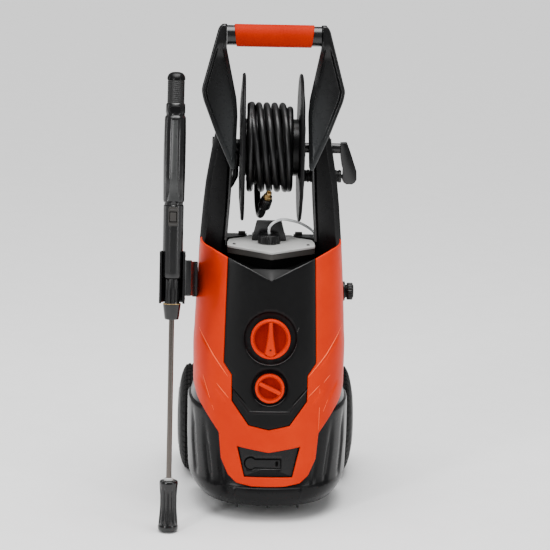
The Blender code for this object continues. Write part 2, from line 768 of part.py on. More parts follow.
SUCTION_R = 0.0026
SUCTION_ROUTE = [(CAP_X, CAP_Y, TANK_TOP + 0.0179), (CAP_X, CAP_Y, TANK_TOP + 0.0300),
                 (0.0050, -0.0400, 0.5475),
                 (0.0200, -0.0300, 0.5520), (0.0370, -0.0120, 0.5470), (0.0560, 0.0150, 0.5375),
                 (0.0740, 0.0400, 0.5240), (0.0845, 0.0560, 0.5130), (0.0885, 0.0615, 0.5020),
                 (0.0895, 0.0630, 0.4700), (0.0895, 0.0630, 0.4000), (0.0870, 0.0560, 0.3350),
                 (0.0855, 0.0200, 0.3000), (0.0845, -0.0250, 0.2800), (0.0680, -0.0700, 0.2640),
                 (0.0300, -0.0960, 0.2560), (0.0020, -0.1010, 0.2525), (0.0, -0.1218, 0.2522)]


def cable_gland(parent):
    wall = HOUSING_BACK
    gland = turned("cable_gland", [(0.0040, wall - 0.0080), (0.0115, wall - 0.0080),
                                   (0.0115, wall - 0.0036),
                                   (0.0080, wall - 0.0036), (0.0080, wall + 0.0006),
                                   (0.0110, wall + 0.0006),
                                   (0.0110, wall + 0.0080), (0.0065, wall + 0.0360),
                                   (0.0040, wall + 0.0360)], 12,
                   "rubber", parent, "Y")
    gland.location = (GLAND_X, 0.0, GLAND_Z)


def hose_guide(parent):
    """Upright trapezium on the tank roof behind the filler cap."""
    outline = [(-0.0370, TANK_TOP + GAP), (0.0300, TANK_TOP + GAP), (0.0200, 0.5480), (-0.0275, 0.5480)]
    ob = prism("hose_guide", outline, "Y", -0.0225, -0.0150, "black_plastic", parent)
    bevel(ob, 0.0015)


# ---------------------------------------------------------------- reel

SWIVEL_X = -0.0695


def reel(parent):
    axis = empty("reel_axis", (0.0, REEL_Y, REEL_Z), parent)
    bore = SHAFT_R + GAP
    rim = DRUM_R
    turned("reel_drum", [(bore, -0.030), (0.020, -0.030), (0.020, -0.003), (rim - 0.005, -0.003),
                         (rim - 0.005, -DRUM_HALF), (rim, -DRUM_HALF), (rim, DRUM_HALF),
                         (rim - 0.005, DRUM_HALF),
                         (rim - 0.005, 0.003), (0.020, 0.003), (0.020, 0.030), (bore, 0.030)], 24,
                         "black_plastic",
           axis, "X")
    for side, word in ((-1, "left"), (1, "right")):
        face = DRUM_HALF + GAP
        profile = [(bore, face), (0.0600, face), (0.0640, face + 0.0020), (0.100, face + 0.0016),
                   (0.1340, face), (0.1400, face), (FLANGE_R, face + 0.0018),
                   (FLANGE_R, face + 0.0042), (0.1395, face + 0.0066), (0.100, face + 0.0096),
                   (0.060, face + 0.0104), (0.046, face + 0.0086), (bore, face + 0.0086)]
        turned(f"flange_{word}", [(r, side * x) for r, x in profile], 36, "black_plastic", axis, "X")
    rod("reel_shaft", SHAFT_R, -0.1080, 0.1325, 20, "steel", axis, "X")
    low, high = COIL_X
    turned("hose_coil", [(DRUM_R + 0.0005, low), (COIL_R - 0.003, low), (COIL_R, low + 0.004),
                         (COIL_R, high - 0.004),
                         (COIL_R - 0.003, high), (DRUM_R + 0.0005, high)], 36, "hose", axis, "X")
    crank_arm(axis)
    hose_tail(axis)
    bearings(parent)


def bearings(parent):
    """Bushes in the two column bosses, and the rotary swivel that feeds the hollow shaft."""
    for side, word in ((-1, "left"), (1, "right")):
        profile = [(SHAFT_R + GAP, 0.0735), (0.0175, 0.0735), (0.0175, 0.0767), (0.0145, 0.0767),
                   (0.0145, 0.1155),
                   (SHAFT_R + GAP, 0.1155)]
        bush = turned(f"reel_bush_{word}", [(r, side * x) for r, x in profile], 16, "white_plastic",
                      parent, "X")
        bush.location = (0.0, REEL_Y, REEL_Z)
    swivel = turned("reel_swivel", [(SHAFT_R + GAP, -0.0732), (0.0150, -0.0732), (0.0150, -0.0612),
                                    (SHAFT_R + GAP, -0.0612)], 22, "brass", parent, "X")
    stub = rod("join_swivel_stub", 0.0058, -0.0380, -0.0128, 16, "brass", parent)
    stub.location = (SWIVEL_X + 0.002, REEL_Y, REEL_Z)
    swivel.location = (0.0, REEL_Y, REEL_Z)
    boolean(swivel, stub, "UNION")


def crank_arm(axis):
    """Dog-legged crank with a forked lower end; drawn in the front plane from the shaft's centre."""
    toe = []
    for angle in (-18.0, -44.0, -68.0, -112.0, -136.0, -160.0):
        turn = math.radians(angle)
        toe.append((CRANK_X + TOE_R * math.cos(turn), -CRANK_RADIUS + TOE_R * math.sin(turn)))
    outline = [(0.1328, -0.0115), (0.1328, 0.0110), (0.1455, 0.0118), (0.1525, -0.0060),
               (0.1650, -0.0430)] + toe
    outline += [(0.1384, -0.0500), (0.1384, -0.0400), (0.1360, -0.0330)]
    arm = prism("crank_arm", outline, "Y", -0.0105, 0.0105, "black_plastic", axis)
    slot = box("cut_crank_slot", (0.120, -0.0062, -0.080), (0.175, 0.0062, -0.0395), "black_plastic",
               axis)
    boolean(arm, slot)


def crank_end(parent):
    """Folding knuckle with the grip's pin, and the ridged grip that turns on it."""
    pivot = (CRANK_X, REEL_Y, REEL_Z - CRANK_RADIUS)
    knuckle = rod("crank_knuckle", 0.0105, -0.0058, 0.0058, 20, "black_plastic", parent, "Y")
    knuckle.location = pivot
    pin = rod("join_grip_pin", 0.0040, -0.0840, -0.0060, 14, "steel", parent, "X")
    pin.location = pivot
    boolean(knuckle, pin, "UNION")
    profile = [(0.0040 + GAP, -0.0154), (GRIP_R - 0.001, -0.0154), (GRIP_R, -0.0165), (GRIP_R, -0.0845),
               (GRIP_R - 0.003, -0.0865), (0.0, -0.0865), (0.0, -0.0845), (0.0040 + GAP, -0.0845)]
    grip = turned("crank_grip", profile, 22, "black_plastic", parent, "X")
    grip.location = pivot


def hose_tail(axis):
    """The hose's free end: it leaves the winding behind, hangs below it and turns up in front."""
    route = [(-0.0260, 0.0680, -0.0680), (-0.0255, 0.0440, -0.0990), (-0.0240, 0.0200, -0.1210),
             (-0.0215, -0.0120, -0.1300), (-0.0180, -0.0380, -0.1240), (-0.0140, -0.0500, -0.1100)]
    spacing = 0.011
    tube("hose_end", route, HOSE_R - 0.0005, spacing, "hose", axis)
    stem = Vector(route[-1])
    direction = (stem - smooth_route(route, spacing)[-2]).normalized()
    aim = direction.to_track_quat("Z", "Y").to_euler()
    nut = turned("hose_nut", [(0.0, GAP), (0.0090, GAP), (0.0115, 0.004), (0.0115, 0.024),
                              (0.0100, 0.027),
                              (0.0, 0.027)], 20, "black_plastic", axis)
    fitting = turned("hose_fitting", [(0.0, 0.027 + GAP), (0.0085, 0.027 + GAP), (0.0085, 0.0330),
                                      (0.0060, 0.0345), (0.0060, 0.0420), (0.0035, 0.0420),
                                      (0.0032, 0.0390),
                                      (0.0, 0.0390)], 18, "brass", axis)
    for ob in (nut, fitting):
        ob.location = stem
        ob.rotation_euler = aim


# ---------------------------------------------------------------- handle

BLADE = [(0.0898, 0.9140), (0.0985, 0.9150), (0.1057, 0.9080), (0.1365, 0.7930), (0.1330, 0.7750),
         (0.1090, 0.7130),
         (0.0785, 0.6450), (0.0705, 0.6450), (0.0672, 0.7450), (0.0695, 0.7750), (0.0898, 0.8710)]


def blade_lean(z):
    """Depth of the blades' middle plane: they lean back as they rise."""
    return -0.0120 + (z - 0.645) * 0.165


def handle(parent):
    for side, word in ((-1, "left"), (1, "right")):
        rings = []
        for offset in (-BLADE_THICK / 2.0, BLADE_THICK / 2.0):
            ring = [(side * x, blade_lean(z) + offset, z) for x, z in BLADE]
            rings.append(ring)
        blade = loft(f"handle_blade_{word}", rings, "black_plastic", parent)
        bevel(blade, 0.003, 2)
    half = 0.0898 - GAP
    bar = rod("handle_bar", BAR_R, -half, half, 24, "black_plastic", parent, "X")
    bar.location = (0.0, BAR_Y, BAR_Z)
    sleeve = turned("grip_sleeve", [(BAR_R + GAP, -0.0730), (SLEEVE_R - 0.001, -0.0735),
                                    (SLEEVE_R, -0.0720),
                                    (SLEEVE_R, 0.0720), (SLEEVE_R - 0.001, 0.0735),
                                    (BAR_R + GAP, 0.0730)], 24,
                    "orange_plastic", parent, "X")
    sleeve.location = (0.0, BAR_Y, BAR_Z)


# ---------------------------------------------------------------- controls

def knob(name, z, radius, height, web_angle, parent):
    """Round control knob: skirt, recessed face and a finger web, on a stem through the panel."""
    base = 0.0014
    profile = [(0.0, -0.0160), (0.0042, -0.0160), (0.0042, base), (radius, base),
               (radius, base + height * 0.72),
               (radius - 0.0025, base + height * 0.80), (radius - 0.0050, base + height * 0.72),
               (radius - 0.0070, base + height * 0.45), (0.0, base + height * 0.45)]
    ob = turned(name, profile, 26, "orange_plastic", parent)
    half = radius - 0.0072
    web = prism(f"join_{name}_web", [(-half, -0.0045), (half, -0.0028), (half, 0.0028), (-half, 0.0045)],
                "Z",
                base + height * 0.30, base + height, "orange_plastic", ob)
    web.rotation_euler = (0.0, 0.0, web_angle)
    boolean(ob, web, "UNION")
    seat_on_panel(ob, z)


def pocket_tray(parent):
    """Black plate behind the window in the cover's lower lobe."""
    lip = [(0.0, 0.1380), (0.0630, 0.1495), (0.0490, 0.0850), (0.0, 0.0848)]
    skin_piece("pocket_tray", mirrored(lip), [], COVER_WALL + 0.0015, 0.0015, 0.024, "black_plastic",
               parent)


# ---------------------------------------------------------------- spray gun and holder

def gun_ring(s, centre, half_x, half_y, power, count=20):
    """One level of the gun: a circle where power is 1, squarer where it is less."""
    ring = []
    for k in range(count):
        turn = 2.0 * math.pi * k / count
        c = math.cos(turn)
        d = math.sin(turn)
        x = half_x * math.copysign(abs(c) ** power, c)
        ring.append((x, centre + half_y * math.copysign(abs(d) ** power, d), s))
    return ring


GUN_LEVELS = [(0.4705, 0.0, 0.0160, 0.0160, 1.0), (0.4740, 0.0, BARREL_R, BARREL_R, 1.0),
              (0.6000, 0.0, BARREL_R, BARREL_R, 1.0), (0.6280, 0.001, 0.0190, 0.0195, 0.9),
              (0.6500, 0.002, 0.0200, 0.0255, 0.8), (0.7000, 0.007, 0.0200, 0.0255, 0.8),
              (0.7550, 0.018, 0.0196, 0.0215, 0.8), (0.8000, 0.029, 0.0182, 0.0190, 0.85),
              (0.8320, 0.037, 0.0172, 0.0180, 0.9), (0.8450, 0.040, 0.0120, 0.0125, 1.0)]


def gun(frame):
    body = loft("gun_body", [gun_ring(*level) for level in GUN_LEVELS], "black_plastic", frame, 40.0)
    pocket = box("cut_button_pocket", (-0.0048, -0.030, 0.5830), (0.0048, -0.0100, 0.6060),
                 "black_plastic", frame)
    boolean(body, pocket)
    button = prism("gun_button", [(-0.0044, 0.5834), (0.0044, 0.5834), (0.0044, 0.6056),
                                  (-0.0044, 0.6056)], "Y",
                   -0.0208, -0.0134, "black_plastic", frame)
    put_origin(button, (0.0, -0.0134, 0.5945))
    pivot_y, pivot_s = TRIGGER_PIVOT
    for side, word in ((-1, "left"), (1, "right")):
        ear_x = sorted((side * 0.0090, side * 0.0125))
        ear = box(f"join_{word}_ear", (ear_x[0], 0.0150, pivot_s - 0.0085),
                  (ear_x[1], 0.0420, pivot_s + 0.0085),
                  "black_plastic", frame)
        boolean(body, ear, "UNION")
    lever = [(0.0300, 0.6700), (0.0380, 0.6670), (0.0450, 0.6800), (0.0540, 0.7150), (0.0600, 0.7600),
             (0.0600, 0.7700), (0.0560, 0.7700), (0.0500, 0.7350), (0.0420, 0.7000), (0.0340, 0.6840),
             (0.0310, 0.6790)]
    trigger = prism("trigger", lever, "X", -0.0085, 0.0085, "black_plastic", frame)
    put_origin(trigger, (0.0, pivot_y, pivot_s))
    turned("lance_nut", [(0.0054, 0.3940), (0.0136, 0.3940), (0.0166, 0.4220), (0.0136, 0.4250),
                         (0.0136, 0.4690),
                         (0.0054, 0.4690)], 24, "black_plastic", frame)
    rod("lance_tube", 0.0050, 0.0560, 0.4680, 16, "steel", frame)
    turned("nozzle", [(0.0, 0.0030), (0.0040, 0.0030), (0.0045, 0.0), (0.0160, 0.0), (0.0186, 0.0030),
                      (0.0188, 0.0080), (0.0170, 0.0300), (0.0157, 0.0680), (0.0172, 0.0860),
                      (0.0164, 0.0935),
                      (0.0054, 0.0935), (0.0054, 0.0550), (0.0, 0.0550)], 20, "black_plastic", frame)


TRIGGER_PIVOT = (0.0345, 0.6725)


def gun_clip(frame):
    """U-shaped clip round the barrel, open to the front."""
    inner = BARREL_R + 0.0006
    outer = 0.0240
    lip = -0.0130
    arc_out = [(outer * math.cos(a), outer * math.sin(a)) for a in half_turn(10)]
    arc_in = [(inner * math.cos(a), inner * math.sin(a)) for a in half_turn(10)]
    outline = [(outer, lip)] + arc_out + [(-outer, lip),
                                          (-inner, lip)] + list(reversed(arc_in)) + [(inner, lip)]
    prism("gun_clip", outline, "Z", CLIP_FROM, CLIP_TO, "black_plastic", frame)


def half_turn(count):
    return [math.pi * k / count for k in range(count + 1)]


def gun_arm(parent):
    """Arm from the cover's side forward and upward to the clip."""
    x_clip = LANCE_FOOT[0] + 0.0240 + CLIP_TO * math.sin(LANCE_TILT) + GAP
    plan = [(-0.1419, -0.0350), (-0.1520, -0.0350), (-0.1600, -0.1000), (x_clip, -0.1600),
            (x_clip, -0.2080),
            (x_clip + 0.0100, -0.2060), (-0.1462, -0.1300), (-0.1419, -0.0900)]
    arm = prism("gun_arm", plan, "Z", ARM_Z[0], ARM_Z[1], "black_plastic", parent)
    for v in arm.data.vertices:
        v.co.z -= ARM_DROP * (v.co.y - plan[4][1])
    bevel(arm, 0.0012)


# ---------------------------------------------------------------- assembly

def build():
    clear()
    machine = empty("machine", SHIFT, None)
    front_cover(machine)
    control_panel(machine)
    base_tub(machine)
    for name, x in (("foot_left", -FOOT_X), ("foot_right", FOOT_X)):
        foot(name, x, machine)
    rear_housing(machine)
    column("column_left", -1, machine)
    column("column_right", 1, machine)
    detergent_tank(machine)
    tank_cap(machine)
    wheel(-1, machine)
    wheel(1, machine)
    wheel_axle(machine)
    motor(machine)
    pump_body(machine)
    capacitor(machine)
    switch_box(machine)
    dosing_valve(machine)
    inlet(machine)
    hoses(machine)
    cable_gland(machine)
    hose_guide(machine)
    reel(machine)
    crank_end(machine)
    handle(machine)
    knob("main_knob", MAIN_KNOB_Z, MAIN_KNOB_R, 0.019, math.radians(90), machine)
    knob("detergent_knob", SMALL_KNOB_Z, SMALL_KNOB_R, 0.016, math.radians(165), machine)
    pocket_tray(machine)
    lance_frame = empty("lance_frame", LANCE_FOOT, machine, (-LANCE_LEAN, LANCE_TILT, 0.0))
    gun(lance_frame)
    gun_clip(lance_frame)
    gun_arm(machine)


build()
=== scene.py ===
"""Looks of an upright pressure washer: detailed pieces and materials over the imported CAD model.

Shapes are given from the machine's centre line and the floor, as in the CAD, and moved by SHIFT.
"""

import json
from math import asin, atan, ceil, copysign, cos, hypot, pi, radians, sin, sqrt

import bmesh
import bpy
import numpy as np
from mathutils import Matrix, Vector, kdtree
from mathutils.geometry import delaunay_2d_cdt


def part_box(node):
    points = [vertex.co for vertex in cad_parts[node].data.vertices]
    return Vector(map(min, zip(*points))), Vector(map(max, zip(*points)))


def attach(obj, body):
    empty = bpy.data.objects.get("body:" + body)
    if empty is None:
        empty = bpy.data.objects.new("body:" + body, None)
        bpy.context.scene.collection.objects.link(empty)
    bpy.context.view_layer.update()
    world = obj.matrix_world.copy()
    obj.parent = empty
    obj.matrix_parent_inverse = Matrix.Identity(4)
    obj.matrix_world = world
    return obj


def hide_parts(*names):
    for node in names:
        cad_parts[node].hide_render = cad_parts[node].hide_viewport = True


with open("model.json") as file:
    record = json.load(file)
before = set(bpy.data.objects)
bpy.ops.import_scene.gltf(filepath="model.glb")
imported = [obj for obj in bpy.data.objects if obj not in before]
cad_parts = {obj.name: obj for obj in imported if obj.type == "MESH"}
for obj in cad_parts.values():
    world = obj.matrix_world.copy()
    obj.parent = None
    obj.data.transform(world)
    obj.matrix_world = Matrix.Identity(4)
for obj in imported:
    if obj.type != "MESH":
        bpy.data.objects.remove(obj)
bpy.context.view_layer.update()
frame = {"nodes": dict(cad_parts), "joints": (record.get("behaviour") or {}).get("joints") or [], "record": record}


def mm(*rows):
    """Rows of millimetres, as rows of metres."""
    return [tuple(v / 1000.0 for v in row) for row in rows]


JOINTS = {j["name"]: j for j in frame["joints"]}
REEL_Y = 0.06
REEL_AT = Vector(JOINTS["reel_turn"]["pos_m"])
REEL_Z = REEL_AT.z
SHIFT = Vector((REEL_AT.x, REEL_AT.y - REEL_Y, 0.0))
MACHINE = Matrix.Translation(SHIFT)
REEL = Matrix.Translation(REEL_AT)
SIDES = ((-1, "left"), (1, "right"))

# body skin, as functions of height
COVER_HALF_WIDTH = mm((30, 135), (155, 140.5), (235, 144.5), (290, 145.3), (350, 143.7), (420, 140.5),
                      (460, 138), (530, 133.5))
COVER_FRONT = mm((30, -189), (100, -186), (200, -176), (320, -163), (460, -146), (530, -136))
COVER_BACK = -0.0092
PANEL_SIDE = mm((0, 177), (38.5, 185.5), (71.2, 230), (71.5, 279), (87.2, 301), (82.5, 496.5))
COVER_SIDE = mm((99, 504), (115, 510), (133.3, 513.5))
COVER_FOOT = mm((144, 240), (136, 221), (94.5, 168), (90, 120), (76, 90), (60, 76), (30, 70), (0, 69.5))
WINDOW = mm((0, 134.5), (59.5, 145.5), (45.5, 88), (0, 87.8))
MAIN_KNOB_Z = 0.3495
SMALL_KNOB_Z = 0.2575


# --- places and the camera

def at(x, y, z):
    """A place given from the machine's centre line and the floor."""
    return MACHINE @ Matrix.Translation((x, y, z))


def linked(ob):
    bpy.context.scene.collection.objects.link(ob)
    return ob


def make_camera():
    """Long lens, a little above the machine, with the small tilt of a hand-straightened picture."""
    azimuth = radians(-1.5)
    elevation = radians(11.7)
    roll = radians(1.2)
    forward = Vector((-sin(azimuth) * cos(elevation), cos(azimuth) * cos(elevation), -sin(elevation)))
    right = forward.cross(Vector((0.0, 0.0, 1.0))).normalized()
    up = right.cross(forward)
    side = right * cos(roll) + up * sin(roll)
    top = up * cos(roll) - right * sin(roll)
    data = bpy.data.cameras.new("camera")
    data.sensor_width = 36.0
    data.lens = 135.8
    data.clip_end = 60.0
    camera = linked(bpy.data.objects.new("camera", data))
    turn = Matrix((side, top, -forward)).transposed()
    eye = Vector((0.01, 0.0, 0.4375)) - forward * 4.0 + SHIFT
    camera.matrix_world = Matrix.Translation(eye) @ turn.to_4x4()
    bpy.context.scene.camera = camera


make_camera()


# --- materials

def node(tree, kind, **values):
    made = tree.nodes.new(kind)
    for key, value in values.items():
        if key in made.inputs:
            made.inputs[key].default_value = value
        else:
            setattr(made, key, value)
    return made


def wire(tree, source, output, target, socket):
    tree.links.new(source.outputs[output], target.inputs[socket])


def surface(name, dark, light, rough, grain=900.0, bump=0.1, depth=0.00025, metal=0.0,
            stretch=(1.0, 1.0, 1.0), specular=0.5):
    """A material whose colour, roughness and fine grain come from noise in the object's own space."""
    mat = bpy.data.materials.new(name)
    mat.use_nodes = True
    tree = mat.node_tree
    shader = tree.nodes["Principled BSDF"]
    shader.inputs["Metallic"].default_value = metal
    shader.inputs["Specular IOR Level"].default_value = specular
    patch = 14.0
    place = node(tree, "ShaderNodeTexCoord")
    scaled = node(tree, "ShaderNodeMapping", Scale=stretch)
    wire(tree, place, "Object", scaled, "Vector")
    broad = node(tree, "ShaderNodeTexNoise", Scale=patch, Detail=5.0, Roughness=0.6)
    ramp = node(tree, "ShaderNodeValToRGB")
    ramp.color_ramp.elements[0].position = 0.35
    ramp.color_ramp.elements[0].color = (*dark, 1.0)
    ramp.color_ramp.elements[1].position = 0.68
    ramp.color_ramp.elements[1].color = (*light, 1.0)
    fine = node(tree, "ShaderNodeTexNoise", Scale=patch * 9.0, Detail=3.0)
    limits = {"From Min": 0.3, "From Max": 0.7, "To Min": rough[0], "To Max": rough[1]}
    span = node(tree, "ShaderNodeMapRange", **limits)
    texture = node(tree, "ShaderNodeTexNoise", Scale=grain, Detail=2.0)
    relief = node(tree, "ShaderNodeBump", Strength=bump, Distance=depth)
    for one in (broad, fine, texture):
        wire(tree, scaled, "Vector", one, "Vector")
    wire(tree, broad, "Fac", ramp, "Fac")
    wire(tree, ramp, "Color", shader, "Base Color")
    wire(tree, fine, "Fac", span, "Value")
    wire(tree, span, "Result", shader, "Roughness")
    wire(tree, texture, "Fac", relief, "Height")
    wire(tree, relief, "Normal", shader, "Normal")
    return mat


LOOKS = {}
LOOK_TABLE = (  # key, slot, name, dark and light tones in thousandths, roughness range, the rest
    ("black", "black_plastic", "moulded_black", (3, 3, 3.3), (4.6, 4.6, 5), (0.26, 0.34),
     dict(bump=0.04, specular=0.26)),
    ("matte", "black_plastic", "dull_black", (2.4, 2.4, 2.6), (4, 4, 4.3), (0.42, 0.52),
     dict(bump=0.05, specular=0.12)),
    # near-black for gaps, grooves, outlines and slots: painted shadow
    ("painted_shadow", "black_plastic", "shadow_black", (0.8, 0.8, 0.8), (1.2, 1.2, 1.2), (0.6, 0.7),
     dict(bump=0.05, specular=0.04)),
    ("panel", "black_plastic", "panel_black", (2.6, 2.6, 2.8), (3.8, 3.8, 4.1), (0.32, 0.4),
     dict(bump=0.04, specular=0.16)),
    # lighter black for the slope behind the panel's brow: painted light
    ("scoop", "black_plastic", "scoop_painted_light", (16, 16, 16), (22, 22, 22), (0.4, 0.48),
     dict(bump=0.05, specular=0.25)),
    # pale grey for the dial's pointer tick, and for thin painted highlight lines on edges, rims and beads
    ("edge", "black_plastic", "pale_mark_and_painted_highlight", (45, 45, 45), (70, 70, 70), (0.3, 0.4),
     dict(bump=0.05, specular=0.4)),
    ("gloss", "black_plastic", "glossy_black", (3.4, 3.4, 3.7), (5, 5, 5.4), (0.27, 0.29),
     dict(bump=0.003, specular=0.15)),
    ("satin", "black_plastic", "satin_black", (4, 4, 4.3), (5.6, 5.6, 6), (0.2, 0.25),
     dict(grain=300.0, bump=0.01, specular=0.46)),
    ("grain", "black_plastic", "grained_black", (4, 4, 4), (7, 7, 7), (0.4, 0.52),
     dict(grain=420.0, bump=0.4, depth=0.0005, specular=0.36)),
    ("skirt", "grey_plastic", "tank_edge", (30, 28, 26), (40, 37, 34), (0.38, 0.48),
     dict(bump=0.08, specular=0.3)),
    ("orange", "orange_plastic", "moulded_orange", (560, 20, 0), (620, 26, 0), (0.36, 0.44),
     dict(bump=0.03, specular=0.05)),
    ("sleeve", "orange_plastic", "soft_orange", (340, 10, 0), (400, 14, 0), (0.48, 0.58),
     dict(bump=0.1, specular=0.03)),
    # lighter orange for the beads along the cover's folds: painted highlight
    ("ridge", "orange_plastic", "orange_painted_highlight", (950, 90, 10), (1000, 110, 14), (0.3, 0.38),
     dict(bump=0.02, specular=0.25)),
    ("grey", "grey_plastic", "moulded_grey", (360, 360, 350), (430, 430, 420), (0.4, 0.52), dict(bump=0.08)),
    # darker orange for the knobs' sunk wells: painted shade
    ("deep", "orange_plastic", "orange_painted_shade", (260, 6, 0), (310, 8, 0), (0.45, 0.55),
     dict(bump=0.05, specular=0.04)),
    # lighter black for strips on the gun and its arm: painted highlight
    ("facet", "black_plastic", "black_painted_highlight", (30, 31, 31), (40, 41, 41), (0.26, 0.34),
     dict(bump=0.02, specular=0.4)),
    ("rubber", "rubber", "black_rubber", (8, 8, 8), (14, 13.5, 13), (0.55, 0.7),
     dict(grain=700.0, bump=0.3, depth=0.0005, specular=0.3)),
    ("tyre", "tyre", "tyre_rubber", (3, 3, 3), (6, 5.7, 5.6), (0.5, 0.64),
     dict(grain=600.0, bump=0.2, depth=0.0005, specular=0.09)),
    ("hose", "hose", "hose_cover", (4.5, 4.5, 4.8), (8, 8, 8.4), (0.3, 0.42),
     dict(grain=1100.0, bump=0.2, depth=0.0003, specular=0.4)),
    ("steel", "steel", "drawn_steel", (65, 55, 50), (120, 105, 95), (0.14, 0.22),
     dict(metal=1.0, stretch=(1.0, 1.0, 0.06), grain=1500.0, bump=0.04)),
    ("brass", "brass", "turned_brass", (520, 330, 120), (700, 480, 210), (0.22, 0.36),
     dict(metal=1.0, grain=1500.0, bump=0.08)),
    ("cast", "cast_aluminium", "cast_metal", (420, 430, 440), (540, 550, 560), (0.42, 0.6),
     dict(metal=1.0, grain=500.0, bump=0.5, depth=0.0006)),
    ("painted", "painted_steel", "painted_can", (75, 82, 90), (110, 120, 130), (0.38, 0.52), dict(metal=0.3)),
    ("white", "white_plastic", "off_white", (550, 550, 530), (660, 660, 640), (0.4, 0.52), dict()),
    ("clear", "clear_tube", "clear_tube", (800, 820, 830), (880, 900, 910), (0.06, 0.14),
     dict(bump=0.04, specular=0.6)),
)
for look, slot, name, dark, light, rough, options in LOOK_TABLE:
    dark, light = ([v / 1000.0 for v in tone] for tone in (dark, light))
    LOOKS[look] = (surface(name, dark, light, rough, **options), slot)
LOOKS["clear"][0].node_tree.nodes["Principled BSDF"].inputs["Transmission Weight"].default_value = 0.45


def painted_sheen(name, base, tip, low, high):
    """Satin black with a painted highlight: its tone lifts towards one place, as (x from the middle, height)."""
    mat = surface(name, base, base, (0.26, 0.32), bump=0.01, specular=0.34)
    tree = mat.node_tree
    place = node(tree, "ShaderNodeTexCoord")
    parts = node(tree, "ShaderNodeSeparateXYZ")
    wire(tree, place, "Object", parts, "Vector")
    shift = node(tree, "ShaderNodeMath", operation="SUBTRACT")
    shift.inputs[1].default_value = SHIFT.x
    away = node(tree, "ShaderNodeMath", operation="ABSOLUTE")
    wire(tree, parts, "X", shift, 0)
    wire(tree, shift, "Value", away, 0)
    across, upright = (node(tree, "ShaderNodeMapRange", interpolation_type="SMOOTHSTEP",
                            **{"From Min": start, "From Max": end}) for start, end in (low, high))
    wire(tree, away, "Value", across, "Value")
    wire(tree, parts, "Z", upright, "Value")
    both = node(tree, "ShaderNodeMath", operation="MULTIPLY")
    wire(tree, across, "Result", both, 0)
    wire(tree, upright, "Result", both, 1)
    ramp = node(tree, "ShaderNodeValToRGB")
    ramp.color_ramp.elements[0].color = (*base, 1.0)
    ramp.color_ramp.elements[1].color = (*tip, 1.0)
    wire(tree, both, "Value", ramp, "Fac")
    wire(tree, ramp, "Color", tree.nodes["Principled BSDF"], "Base Color")
    return mat


# the blades lighten towards their lower inner part: painted highlight
LOOKS["blade"] = (painted_sheen("blade_painted_sheen", (0.0035, 0.0035, 0.0038), (0.034, 0.036, 0.037), (0.128, 0.076),
                          (0.86, 0.69)), "black_plastic")


# --- mesh helpers

def fixed(ob, body, stands_for):
    """Parents a piece to its body's empty and hides the CAD nodes it stands for."""
    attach(ob, body)
    if stands_for:
        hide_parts(*stands_for)
    return ob


def piece(name, bm, look, body, stands_for=(), bevel=0.0, sharp=38.0):
    """Turns a bmesh in world coordinates into a finished piece that rides on a body."""
    bmesh.ops.recalc_face_normals(bm, faces=bm.faces)
    mesh = bpy.data.meshes.new(name)
    bm.to_mesh(mesh)
    bm.free()
    mesh.shade_smooth()
    ob = linked(bpy.data.objects.new(name, mesh))
    mat, slot = LOOKS[look]
    mesh.materials.append(mat)
    if bevel:
        mod = ob.modifiers.new("edge", "BEVEL")
        mod.width = bevel
        mod.segments = 2
        mod.limit_method = "ANGLE"
        mod.angle_limit = radians(sharp)
        mod.harden_normals = True
    else:
        mesh.set_sharp_from_angle(angle=radians(sharp))
    return fixed(ob, body, stands_for)


def refined(cad, look, body, bevel, sharp):
    """The CAD node's own shape with its flat faces joined up and its edges rounded."""
    bm = bmesh.new()
    bm.from_mesh(frame["nodes"][cad].data)
    bmesh.ops.remove_doubles(bm, verts=bm.verts, dist=1e-6)
    bmesh.ops.dissolve_limit(bm, angle_limit=radians(1.0), verts=bm.verts, edges=bm.edges)
    return piece(f"{cad}.shape", bm, look, body, [cad], bevel, sharp)


def lathe(name, profile, count, look, body, stands_for=(), matrix=MACHINE, axis="Z", ripple=None, bevel=0.0,
          sharp=38.0):
    """Turns a closed (radius, height) outline; ripple(turn, radius, height) gives the radius instead."""
    bm = bmesh.new()
    columns = []
    poles = {}
    for k in range(count):
        turn = 2.0 * pi * k / count
        column = []
        for i, (r, h) in enumerate(profile):
            if r < 1e-7:
                if i not in poles:
                    poles[i] = bm.verts.new((0.0, 0.0, h))
                column.append(poles[i])
                continue
            radius = ripple(turn, r, h) if ripple else r
            column.append(bm.verts.new((radius * cos(turn), radius * sin(turn), h)))
        columns.append(column)
    size = len(profile)
    for k in range(count):
        a = columns[k]
        b = columns[(k + 1) % count]
        for i in range(size):
            j = (i + 1) % size
            corners = []
            for v in (a[i], a[j], b[j], b[i]):
                if v not in corners:
                    corners.append(v)
            if len(corners) > 2:
                bm.faces.new(corners)
    if axis == "X":
        bm.transform(Matrix(((0, 0, 1, 0), (1, 0, 0, 0), (0, 1, 0, 0), (0, 0, 0, 1))))
    bm.transform(matrix)
    return piece(name, bm, look, body, stands_for, bevel, sharp)


def fluted(count, deep, above, low, high, power=2, phase=0.0):
    """A ripple for lathe: even flutes beyond one radius and between two heights."""
    def ripple(turn, r, h):
        if r < above or not low < h < high:
            return r
        return r - deep * (0.5 + 0.5 * cos(turn * count + phase)) ** power

    return ripple


def quads(bm, rows):
    """Faces between neighbouring rows of vertices."""
    for a, b in zip(rows, rows[1:]):
        for i in range(len(a) - 1):
            bm.faces.new((a[i], a[i + 1], b[i + 1], b[i]))


def add_loft(bm, rings):
    rows = [[bm.verts.new(p) for p in ring] for ring in rings]
    quads(bm, [row + row[:1] for row in rows])
    bm.faces.new(rows[0])
    bm.faces.new(rows[-1])


def loft(name, rings, look, body, stands_for=(), matrix=MACHINE, **options):
    bm = bmesh.new()
    add_loft(bm, rings)
    bm.transform(matrix)
    return piece(name, bm, look, body, stands_for, **options)


